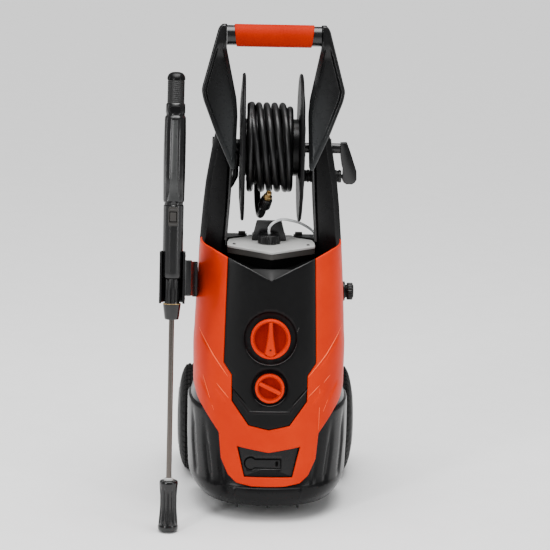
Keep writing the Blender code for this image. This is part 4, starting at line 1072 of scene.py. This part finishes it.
def reel():
    half = 0.0515
    for side, word in SIDES:
        face = half + 0.0003
        profile = mm((10.3, 0), (60, 0), (64, 2), (100, 1.6), (133, 0.2), (138.5, 0), (141.2, 0.6),
                     (142.5, 2), (142.5, 4.2), (141.2, 5.8), (139, 6.7), (136, 6.6), (134.5, 6.2),
                     (118, 7.9), (100, 9.4), (80, 10.1), (60, 10.4), (48, 8.8), (45, 7.8), (30, 7.6),
                     (28, 8.4), (22, 8.6), (10.3, 8.6))
        lathe(f"flange_{word}.disc", [(r, side * (face + out)) for r, out in profile], 144, "matte", "reel",
              [f"flange_{word}"], REEL, "X", sharp=30.0)
        for k in range(12):
            turn = REEL @ Matrix.Rotation(2.0 * pi * k / 12, 4, "X")
            rings = []
            for r, out in mm((62, 10.8), (80, 10.7), (100, 10), (133, 7)):
                x0 = side * (face + out - 0.003)
                x1 = side * (face + out)
                rings.append([(x0, -0.0022, r), (x1, -0.0013, r), (x1, 0.0013, r), (x0, 0.0022, r)])
            loft(f"flange_{word}.rib_{k}", rings, "matte", "reel", (), turn, bevel=0.0004, sharp=25.0)
    drum = mm((10.3, -30), (20, -30), (20, -3), (50, -3), (50, -51.5), (55, -51.5), (55, 51.5), (50, 51.5),
              (50, 3), (20, 3), (20, 30), (10.3, 30))
    lathe("reel_drum.barrel", drum, 96, "black", "reel", ["reel_drum"], REEL, "X", bevel=0.0006)
    lathe("reel_shaft.rod", mm((0, -108), (9.4, -108), (10, -107.4), (10, 131.9), (9.4, 132.5), (0, 132.5)),
          64, "satin", "reel", ["reel_shaft"], REEL, "X")


def crank():
    refined("crank_arm", "satin", "reel", 0.0014, 35.0)
    refined("crank_knuckle", "satin", "crank_knuckle", 0.0006, 35.0)
    place = at(0.1512, REEL_Y, REEL_Z - 0.0545)
    low = -0.0865
    high = -0.0154
    profile = [(0.0043, high), (0.0112, high), (0.0122, high - 0.0008)]
    for k in range(11):
        x = high - 0.003 - 0.006 * k
        profile += [(0.0125, x), (0.0125, x - 0.0026), (0.0113, x - 0.0034), (0.0113, x - 0.0052)]
    profile += [(0.0118, low + 0.0012), (0.01, low), (0.0, low), (0.0, low + 0.002), (0.0043, low + 0.002)]
    lathe("crank_grip.ridged", profile, 96, "grain", "crank_grip", ["crank_grip"], place, "X", sharp=30.0)


# --- handle

BLADE = mm((89.8, 914), (98.5, 915), (105.7, 908), (136.5, 793), (133, 775), (109, 713), (78.5, 645),
           (70.5, 645), (67.2, 745), (69.5, 775), (89.8, 871))
BLADE_OUTER = BLADE[1:7]
BLADE_INNER = BLADE[6:] + BLADE[:1]


def rounded(half, low, high, reach):
    """An upright rectangle with eased corners."""
    return eased_corners([(-half, low), (half, low), (half, high), (-half, high)], reach)


def eased_corners(points, reach, count=5):
    """Rounds the corners of a closed outline."""
    result = []
    size = len(points)
    for i in range(size):
        a = Vector(points[i - 1])
        b = Vector(points[i])
        c = Vector(points[(i + 1) % size])
        r1 = min(reach, (a - b).length * 0.4)
        r2 = min(reach, (c - b).length * 0.4)
        p = b + (a - b).normalized() * r1
        q = b + (c - b).normalized() * r2
        for k in range(count + 1):
            t = k / count
            result.append(tuple(p.lerp(b, t).lerp(b.lerp(q, t), t)))
    return result


def blade(side, word):
    thick = 0.024
    outline = eased_corners(BLADE, 0.006)

    def lean(z):
        return -0.012 + (z - 0.645) * 0.165

    def place(x, z, depth):
        return Vector((side * x, lean(z) - thick / 2.0 + depth, z))

    def relief(points):
        out = distances(points, BLADE_OUTER, closed=False)
        into = distances(points, BLADE_INNER, closed=False)
        result = []
        for z, a, b in zip(points[:, 1], out, into):
            upper = ease(0.64, 0.8, z)
            rim = 0.0062
            deep = 0.003 + 0.007 * upper
            dip = ease(rim, rim + 0.0042, a) * ease(0.007, 0.0085, b)
            dip *= 1.0 - ease(0.85, 0.885, z)
            hollow = deep * (0.75 + 0.25 * ease(rim, rim + 0.03, a))
            chamfer = 0.007 * (1.0 - ease(0.0, 0.0085, b)) * (1.0 - ease(0.862, 0.885, z))
            chamfer *= ease(0.65, 0.668, z)
            result.append(dip * hollow + chamfer)
        return result

    extra = []
    for line, gaps in ((BLADE_OUTER, (0.006, 0.007, 0.008, 0.009, 0.01, 0.0108)),
                       (BLADE_INNER, (0.0045, 0.0068, 0.0078, 0.0088))):
        dense = np.array(split(line, 0.003, closed=False))
        for gap in gaps:
            d = np.gradient(dense, axis=0)
            d /= np.linalg.norm(d, axis=1)[:, None]
            for sign in (-1.0, 1.0):
                row = dense + sign * gap * np.stack([-d[:, 1], d[:, 0]], 1)
                near = distances(row, line, closed=False)
                extra += [tuple(p) for p, n in zip(row, near) if n > gap * 0.97]
    # the blade look paints a highlight on each blade's lower inner part
    plate(f"handle_blade_{word}.shell", [outline], extra, 0.0045, place, relief, thick, 0.003, "blade",
          [f"handle_blade_{word}"])


def handle():
    for side, word in SIDES:
        blade(side, word)
    place = at(0.0, 0.0305, 0.8945)
    half = 0.0895
    lathe("handle_bar.tube", [(0.0, -half), (0.019, -half), (0.019, half), (0.0, half)], 72, "satin",
          "machine", ["handle_bar"], place, "X")
    profile = mm((19.3, -73.5), (20.5, -73.5), (21.3, -72.8), (21.5, -71.5))
    for k in range(1, 24):
        x = -0.0715 + 0.143 * k / 24.0
        profile += [(0.0215, x - 0.0011), (0.02125, x), (0.0215, x + 0.0011)]
    profile += mm((21.5, 71.5), (21.3, 72.8), (20.5, 73.5), (19.3, 73.5))
    sleeve = lathe("grip_sleeve.soft", profile, 96, "sleeve", "machine", ["grip_sleeve"], place, "X",
                   sharp=60.0)
    centre = place.translation
    for v in sleeve.data.vertices:
        along_bar = v.co.x - centre.x
        v.co.x += 0.11 * (v.co.z - centre.z) * along_bar / 0.0735
    for side, word in SIDES:
        top = at(side * 0.0945, 0.0315, 0.9125)
        lathe(f"handle_plug_{word}", mm((0, -2), (5.2, -2), (5.2, 2), (4.2, 3.2), (0, 3.4)), 32, "black",
              "machine", (), top)


# --- hose

def spaced(points, spacing):
    """Points a fixed distance apart on the Catmull-Rom curve through a route's own points."""
    pts = [Vector(p) for p in points]
    pts = [pts[0] * 2 - pts[1]] + pts + [pts[-1] * 2 - pts[-2]]
    fine = []
    for i in range(1, len(pts) - 2):
        a, b, c, d = pts[i - 1:i + 3]
        for k in range(24):
            t = k / 24.0
            square = 2 * a - 5 * b + 4 * c - d
            cube = 3 * b - a - 3 * c + d
            fine.append(0.5 * (2 * b + (c - a) * t + square * t ** 2 + cube * t ** 3))
    fine.append(pts[-2])
    lengths = [0.0]
    for p, q in zip(fine, fine[1:]):
        lengths.append(lengths[-1] + (q - p).length)
    count = max(2, round(lengths[-1] / spacing))
    result = []
    i = 0
    for k in range(count + 1):
        want = lengths[-1] * k / count
        while i < len(fine) - 2 and lengths[i + 1] < want:
            i += 1
        result.append(fine[i].lerp(fine[i + 1], (want - lengths[i]) / (lengths[i + 1] - lengths[i])))
    return result


def curve_piece(name, points, radius, look, body, stands_for=(), taper=None):
    curve = bpy.data.curves.new(name, "CURVE")
    curve.dimensions = "3D"
    curve.bevel_depth = radius
    curve.bevel_resolution = 6
    curve.use_fill_caps = True
    spline = curve.splines.new("POLY")
    spline.points.add(len(points) - 1)
    for point, p in zip(spline.points, points):
        point.co = (*p, 1.0)
    if taper:
        for point, share in zip(spline.points, taper):
            point.radius = share
    mat, slot = LOOKS[look]
    curve.materials.append(mat)
    return fixed(linked(bpy.data.objects.new(name, curve)), body, stands_for)


HOSE_R = 0.0064
TAIL = mm((-26, 68, -68), (-25.5, 44, -99), (-24, 20, -121), (-21.5, -12, -130), (-18, -38, -124),
          (-14, -50, -110))


def winding():
    """The wound hose: an inner layer, an outer layer back over it, and the end that drops below."""
    # turns from the start, radius, place along the drum
    keys = [(0.0, 0.0625, -0.043), (0.4, 0.067, -0.0425), (6.1, 0.0675, 0.033), (6.6, 0.074, 0.0345),
            (7.1, 0.0805, 0.033), (11.2, 0.0805, -0.029), (11.9, 0.0805, -0.0425), (12.4, 0.0808, -0.043),
            (12.87, 0.085, -0.029)]
    points = []
    total = keys[-1][0]
    count = int(total * 40)
    start = radians(225.0) + 2.0 * pi * total
    for k in range(count):
        turns = total * k / count
        for (t0, r0, x0), (t1, r1, x1) in zip(keys, keys[1:]):
            if turns <= t1:
                break
        share = (turns - t0) / (t1 - t0)
        radius = r0 + (r1 - r0) * ease(0.0, 1.0, share)
        x = x0 + (x1 - x0) * share
        turn = start - 2.0 * pi * turns
        lean = 0.0075 * ease(6.9, 7.6, turns) * (1.0 - ease(11.4, 12.2, turns))
        x -= lean * cos(turn)
        x = min(max(x, -0.0433), 0.0352)
        points.append(REEL_AT + Vector((x, -radius * sin(turn), radius * cos(turn))))
    return points


def hose():
    tail = [REEL_AT + Vector(p) for p in TAIL]
    wound = winding()
    route = wound + [(wound[-1] + tail[0]) / 2.0]
    points = spaced(route[-6:] + tail, 0.0075)
    line = route[:-6] + points
    ob = curve_piece("pressure_hose", line, HOSE_R, "hose", "reel", ["hose_coil", "hose_end"])
    direction = (points[-1] - points[-2]).normalized()
    place = Matrix.Translation(points[-1]) @ direction.to_track_quat("Z", "Y").to_matrix().to_4x4()

    profile = mm((0, 0.3), (8.8, 0.3), (10, 2), (11.3, 4), (11.5, 6), (11.5, 22.5), (11, 24), (10, 26.5),
                 (0, 26.8))
    knurls = fluted(16.0, 0.0008, 0.0104, 0.0045, 0.0235)
    nut = lathe("hose_nut.knurled", profile, 192, "satin", "reel", ["hose_nut"], place, "Z", knurls)
    brass = mm((0, 27.3), (8, 27.3), (8.5, 27.8), (8.5, 32.5), (7.6, 33.5), (6, 34.5), (6, 36.2), (5.2, 36.7),
               (5.2, 37.7), (6, 38.2), (6, 41.2), (5.4, 42), (3, 42), (2.6, 41.2), (2.6, 38.5), (0, 38.5))
    tip = lathe("hose_fitting.turned", brass, 96, "brass", "reel", ["hose_fitting"], place)


SUCTION = mm((-4, -46, 526.4), (-4, -46, 538.5), (5, -40, 547.5), (20, -30, 552), (37, -12, 547),
             (56, 15, 537.5), (74, 40, 524), (84.5, 56, 513), (88.5, 61.5, 502), (89.5, 63, 470),
             (89.5, 63, 400), (87, 56, 335), (85.5, 20, 300), (84.5, -25, 280), (68, -70, 264),
             (30, -96, 256), (2, -101, 252.5), (0, -121.8, 252.2))


def detergent_tube():
    line = [p + SHIFT for p in spaced(SUCTION, 0.006)]
    ob = curve_piece("suction_tube", line, 0.0026, "clear", "machine", ["detergent_tube"])


hose()
detergent_tube()


# --- spray gun

FOOT = Vector((-0.1852, -0.243, 0.002))
LANCE = (MACHINE @ Matrix.Translation(FOOT) @ Matrix.Rotation(radians(0.28), 4, "Y")
         @ Matrix.Rotation(-radians(5.7), 4, "X"))


def gun_ring(s, centre, half_x, half_y, power, facet=0.0, count=64):
    ring = []
    for k in range(count):
        turn = 2.0 * pi * k / count
        c = cos(turn)
        d = sin(turn)
        x = half_x * copysign(abs(c) ** power, c)
        y = half_y * copysign(abs(d) ** power, d)
        if facet and y < 0.0:
            flat = -half_y + facet
            if y < flat:
                y = flat + (y - flat) * 0.1
        ring.append((x, centre + y, s))
    return ring


def grip_centre(s):
    """How far behind the lance's axis the grip's middle is, at a distance along the lance."""
    return 0.0245 + (s - 0.782) * 0.262


def gun():
    barrel = [(0.4705, 0.0, 0.015, 0.015, 1.0, 0.0), (0.4712, 0.0, 0.0176, 0.0176, 1.0, 0.0),
              (0.4735, 0.0, 0.0185, 0.0185, 1.0, 0.0004), (0.5, 0.0, 0.0186, 0.0186, 1.0, 0.0004),
              (0.603, 0.0, 0.0186, 0.0186, 1.0, 0.0004), (0.6045, 0.0, 0.017, 0.017, 1.0, 0.0),
              (0.6085, 0.0, 0.017, 0.017, 1.0, 0.0), (0.61, 0.0, 0.0188, 0.019, 1.0, 0.0012),
              (0.614, 0.0, 0.0194, 0.0196, 1.0, 0.0022), (0.628, 0.001, 0.0196, 0.0205, 0.98, 0.0019),
              (0.65, 0.002, 0.02, 0.025, 0.96, 0.0015), (0.68, 0.0045, 0.0203, 0.0252, 0.95, 0.0013),
              (0.71, 0.009, 0.0203, 0.0248, 0.95, 0.0012), (0.74, 0.0145, 0.02, 0.0225, 0.96, 0.0012),
              (0.76, 0.0195, 0.0195, 0.0208, 0.97, 0.001), (0.764, 0.0205, 0.019, 0.0202, 0.98, 0.0006),
              (0.7655, 0.0208, 0.0172, 0.0184, 1.0, 0.0), (0.77, 0.022, 0.0172, 0.018, 1.0, 0.0),
              (0.772, 0.0224, 0.018, 0.0186, 1.0, 0.0), (0.786, 0.0257, 0.0176, 0.018, 1.0, 0.0),
              (0.7885, 0.0263, 0.016, 0.0164, 1.0, 0.0)]
    fine = []
    for a, b in zip(barrel, barrel[1:]):
        count = max(1, int((b[0] - a[0]) / 0.006))
        for k in range(count):
            fine.append([a[i] + (b[i] - a[i]) * k / count for i in range(6)])
    fine.append(barrel[-1])
    rings = [gun_ring(*level) for level in fine]
    loft("gun_body.shell", rings, "satin", "gun", ["gun_body"], LANCE, sharp=40.0)
    grip = []
    for k in range(41):
        s = 0.782 + 0.0012 * k
        ridge = 0.0005 if k % 3 == 0 else 0.0
        grip.append(gun_ring(s, grip_centre(s), 0.0158 - ridge, 0.0164 - ridge, 1.0, 0.0, 48))
    loft("gun_body.grip", grip, "grain", "gun", (), LANCE, sharp=40.0)
    dome = mm((830.2, 15), (830.8, 16.6), (833, 16.8), (835.2, 16.5), (838, 15.6), (841, 13.8), (843.2, 11.2),
              (844.6, 7.8), (845.2, 4))
    crown = [gun_ring(s, grip_centre(s), r, r, 1.0, 0.0, 48) for s, r in dome]
    loft("gun_body.crown", crown, "gloss", "gun", (), LANCE, sharp=60.0)
    prism("gun_body.eyelet", rounded(0.0105, 0.769, 0.784, 0.007), "Y", 0.004, 0.016, "gloss", "gun",
          (), LANCE, bevel=0.0012)
    for side, word in SIDES:
        ear = mm((15, 664), (38, 664), (42, 668), (42, 677), (38, 681), (15, 681))
        low, high = sorted((side * 0.009, side * 0.0125))
        prism(f"gun_body.ear_{word}", ear, "X", low, high, "satin", "gun", (), LANCE, bevel=0.0008)
    # a lighter strip down the gun's front face: painted highlight
    rings = []
    widths = mm((611.8, 11.8), (620, 10), (628, 8.6), (639, 7.6), (650, 6.8), (665, 6.3), (680, 6), (710, 6),
                (740, 6), (758, 5.6))
    for s, wide in widths:
        level = [float(np.interp(s, [b[0] for b in barrel], [b[i] for b in barrel])) for i in range(6)]
        face = level[1] - level[3] + level[5]
        rings.append([(-wide, face, s), (-wide * 0.72, face - 0.001, s), (wide * 0.72, face - 0.001, s),
                      (wide, face, s), (wide * 0.9, face + 0.003, s), (-wide * 0.9, face + 0.003, s)])
    loft("gun_body.painted_highlight_strip", rings, "facet", "gun", (), LANCE, sharp=60.0)
    prism("gun_body.button_frame", rounded(0.0085, 0.5665, 0.601, 0.0022), "Y", -0.0192, -0.015, "skirt",
          "gun", (), LANCE, bevel=0.0006)
    prism("gun_button.cap", rounded(0.0056, 0.5752, 0.5915, 0.0012), "Y", -0.0206, -0.015, "skirt",
          "gun_button", ["gun_button"], LANCE, bevel=0.0007)
    # a near-black lip round the button: painted shadow in the gap
    prism("gun_body.button_lip", rounded(0.007, 0.5735, 0.5932, 0.0012), "Y", -0.0195, -0.015, "painted_shadow", "gun",
          (), LANCE, bevel=0.0003)
    # pale bars at the button's top and bottom edges: painted highlight
    for n, s in enumerate((0.57, 0.5965)):
        bar = [(-0.006, s - 0.0005), (0.006, s - 0.0005), (0.006, s + 0.0005), (-0.006, s + 0.0005)]
        prism(f"gun_body.button_bar_{n}", bar, "Y", -0.0197, -0.015, "edge", "gun", (), LANCE)
    refined("trigger", "satin", "trigger", 0.0012, 25.0)
    flutes = fluted(9.0, 0.0026, 0.0124, 0.4235, 0.4665, 3, pi)
    nut = mm((5.4, 394), (12, 394), (13, 395), (13.6, 398.5), (16.3, 420), (16.5, 422.2), (14.6, 423.6),
             (13.6, 424.5), (13.6, 427), (13.6, 448), (13.6, 466), (13, 468.8), (5.4, 469))
    lathe("lance_nut.fluted", nut, 180, "satin", "lance_nut", ["lance_nut"], LANCE, "Z", flutes)
    lathe("lance_nut.ring", mm((15, 422.6), (16.4, 422.6), (16.4, 423.6), (15, 423.6)), 96, "brass",
          "lance_nut", (), LANCE)
    lathe("lance_tube.steel", mm((0, 56), (5, 56), (5, 468), (0, 468)), 64, "steel", "gun", ["lance_tube"],
          LANCE)
    collar = mm((4.6, 94.1), (4.6, 98.5), (6.2, 99), (9.2, 97.2), (9.4, 95.5), (9.4, 94.1))
    lathe("lance_tube.collar", collar, 64, "grey", "gun", (), LANCE)

    def scallops(turn, r, h):
        if r < 0.0145 or not 0.01 < h < 0.085:
            return r
        depth = 0.0022 * ease(0.01, 0.022, h) * (1.0 - ease(0.074, 0.084, h))
        return r - depth * (0.5 + 0.5 * cos(turn * 12.0)) ** 2

    nozzle = mm((0, 3), (4, 3), (4.5, 0), (15.8, 0), (17.4, 0.8), (18.4, 2.6), (18.8, 6), (18.7, 9.5),
                (18, 10.8))
    for k in range(17):
        h = 0.012 + 0.0045 * k
        nozzle.append((0.0157 + 0.0024 * (1.0 - ease(0.01, 0.048, h)) + 0.0013 * ease(0.062, 0.086, h), h))
    nozzle += mm((17, 85.5), (17.2, 87), (17.2, 90.5), (16.4, 92.8), (15.6, 93.5), (5.4, 93.5), (5.4, 55),
                 (0, 55))
    lathe("nozzle.fluted", nozzle, 192, "satin", "nozzle", ["nozzle"], LANCE, "Z", scallops)


def gun_holder():
    inner = 0.0193
    outer = 0.0236
    lip = -0.013
    arc = [pi * k / 40 for k in range(41)]
    outline = [(outer - 0.001, lip), (outer, lip + 0.001)] + [(outer * cos(a), outer * sin(a)) for a in arc]
    outline += [(-outer, lip + 0.001), (-outer + 0.001, lip), (-inner, lip)]
    outline += [(inner * cos(a), inner * sin(a)) for a in reversed(arc)] + [(inner, lip)]
    prism("gun_clip.jaw", outline, "Z", 0.424, 0.519, "black", "machine", ["gun_clip"], LANCE, bevel=0.0008)
    for n, s in enumerate((0.432, 0.511)):
        band = [(r * cos(a), r * sin(a)) for r, order in ((outer + 0.0004, arc),
                (outer - 0.001, arc[::-1])) for a in order]
        prism(f"gun_clip.band_{n}", band, "Z", s - 0.003, s + 0.003, "black", "machine", (), LANCE,
              bevel=0.0004)
    refined("gun_arm", "black", "machine", 0.0014, 25.0)
    low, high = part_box("gun_arm")
    front = low.y - SHIFT.y
    x = low.x - SHIFT.x
    plan = [(x, front), (x + 0.0105, front + 0.0015), (x + 0.0128, front + 0.028), (x, front + 0.046)]
    foot = mm((-148, -100), (-148, -30), (-140.2, -30), (-140.2, -60), (-137.5, -100))
    # the boss's lighter look is a painted highlight; the foot stays black
    for name, look, plan, slope, top in (("boss", "facet", plan, 0.21, high.z + 0.0012),
                                         ("foot", "black", foot, 0.22, high.z + 0.0010)):
        bottom = high.z - (0.066 if name == "boss" else 0.067)
        rings = [[(a, b, height - slope * (b - front)) for a, b in plan] for height in (bottom, top)]
        loft(f"gun_arm.{name}", rings, look, "machine", bevel=0.0014, sharp=25.0)


# --- small fittings

def inlet():
    place = at(0.0, 0.018, 0.404)
    refined("inlet_body", "black", "machine", 0.0006, 35.0)
    nut = mm((12.8, 150), (15.2, 150), (16.4, 151), (16.8, 152.2), (16.8, 159.8), (16.3, 161), (15.5, 161.5),
             (12.8, 161.5))
    ribs = fluted(18.0, 0.0011, 0.016, 0.1505, 0.1612)
    lathe("inlet_nut.ribbed", nut, 216, "black", "inlet_nut", ["inlet_nut"], place, "X", ribs)


# CAD node, look, how far its edges are eased
CARRIED_OVER = [("column_left", "black", 0.0016), ("column_right", "black", 0.0016),
                ("hose_guide", "satin", 0.001), ("cable_gland", "rubber", 0.0004),
                ("foot_left", "rubber", 0.001), ("foot_right", "rubber", 0.001),
                ("wheel_axle", "steel", 0.0006), ("motor_can", "painted", 0.001),
                ("motor_fan", "white", 0.0005), ("motor_rotor", "steel", 0.0006),
                ("pump_body", "cast", 0.002), ("capacitor", "white", 0.0008),
                ("switch_box", "white", 0.0012), ("dosing_valve", "brass", 0.0006),
                ("reel_bush_left", "white", 0.0004), ("reel_bush_right", "white", 0.0004),
                ("reel_swivel", "black", 0.0008)]
# inner front edge of each column, for a pale bead that is a painted highlight
COLUMN_EDGE = mm((86.2, -8.5, 506), (81.2, -4, 577), (79.2, -1, 617), (77, 6.2, 677), (74.8, 15, 730))


def carried_over():
    """Every other CAD node keeps its shape, with its edges eased and its own material."""
    bodies = frame["record"]["behaviour"]["bodies"]
    home = {n: b for b, members in bodies.items() for n in members}
    for cad, look, width in CARRIED_OVER:
        refined(cad, look, home[cad], width, 35.0)
    # a pale bead down each column's inner edge: painted highlight
    for side, word in SIDES:
        line = [(side * x, y, z) for x, y, z in COLUMN_EDGE]
        points = [MACHINE @ Vector(p) for p in spaced(line, 0.01)]
        curve_piece(f"column_{word}.bead", points, 0.0026, "edge", "machine")
    for cad in ("inlet_hose", "supply_hose"):
        refined(cad, "hose", "machine", 0.0, 60.0)


# --- stage

def light(name, place, aim, size, power):
    data = bpy.data.lights.new(name, "AREA")
    data.shape = "RECTANGLE"
    data.size = size[0]
    data.size_y = size[1]
    data.energy = power
    ob = linked(bpy.data.objects.new(name, data))
    ob.location = place
    ob.rotation_euler = (Vector(aim) - Vector(place)).to_track_quat("-Z", "Y").to_euler()


def stage():
    bm = bmesh.new()
    bmesh.ops.create_grid(bm, x_segments=2, y_segments=2, size=14.0)
    mesh = bpy.data.meshes.new("floor")
    bm.to_mesh(mesh)
    bm.free()
    floor = linked(bpy.data.objects.new("floor", mesh))
    mat = surface("pale_floor", (0.86, 0.86, 0.86), (0.88, 0.88, 0.88), (0.8, 0.9), bump=0.0)
    mesh.materials.append(mat)
    world = bpy.data.worlds.new("studio")
    bpy.context.scene.world = world
    world.use_nodes = True
    back = world.node_tree.nodes["Background"]
    back.inputs["Color"].default_value = (1.0, 1.0, 1.0, 1.0)
    back.inputs["Strength"].default_value = 0.3
    light("key", (-1.7, -2.3, 1.7), (0.0, 0.0, 0.45), (0.42, 1.9), 44.0)
    light("fill", (2.2, -1.8, 1.3), (0.0, 0.0, 0.45), (0.35, 1.8), 20.0)
    light("rim_left", (-2.3, 0.5, 1.1), (0.0, 0.0, 0.45), (0.4, 1.8), 6.0)
    light("top", (0.1, -0.2, 2.8), (0.0, 0.0, 0.4), (1.6, 1.2), 46.0)
    data = bpy.data.lights.new("even", "SUN")
    data.energy = 3.6
    data.angle = radians(60.0)
    linked(bpy.data.objects.new("even", data)).rotation_euler = (radians(2.0), 0.0, 0.0)


# --- all of it

front_cover()
control_panel()
panel_scoop()
pocket_tray()
folds()
pocket_lines()
marks()
knob("main_knob", MAIN_KNOB_Z, 0.0372, 0.019, 0.0, 0.0085)
knob("detergent_knob", SMALL_KNOB_Z, 0.0275, 0.016, radians(64.0), 0.0)
base_tub()
rear_housing()
wheel(-1, "wheel_left", "left")
wheel(1, "wheel_right", "right")
tank()
tank_cap()
reel()
crank()
handle()
gun()
gun_holder()
inlet()
carried_over()
stage()
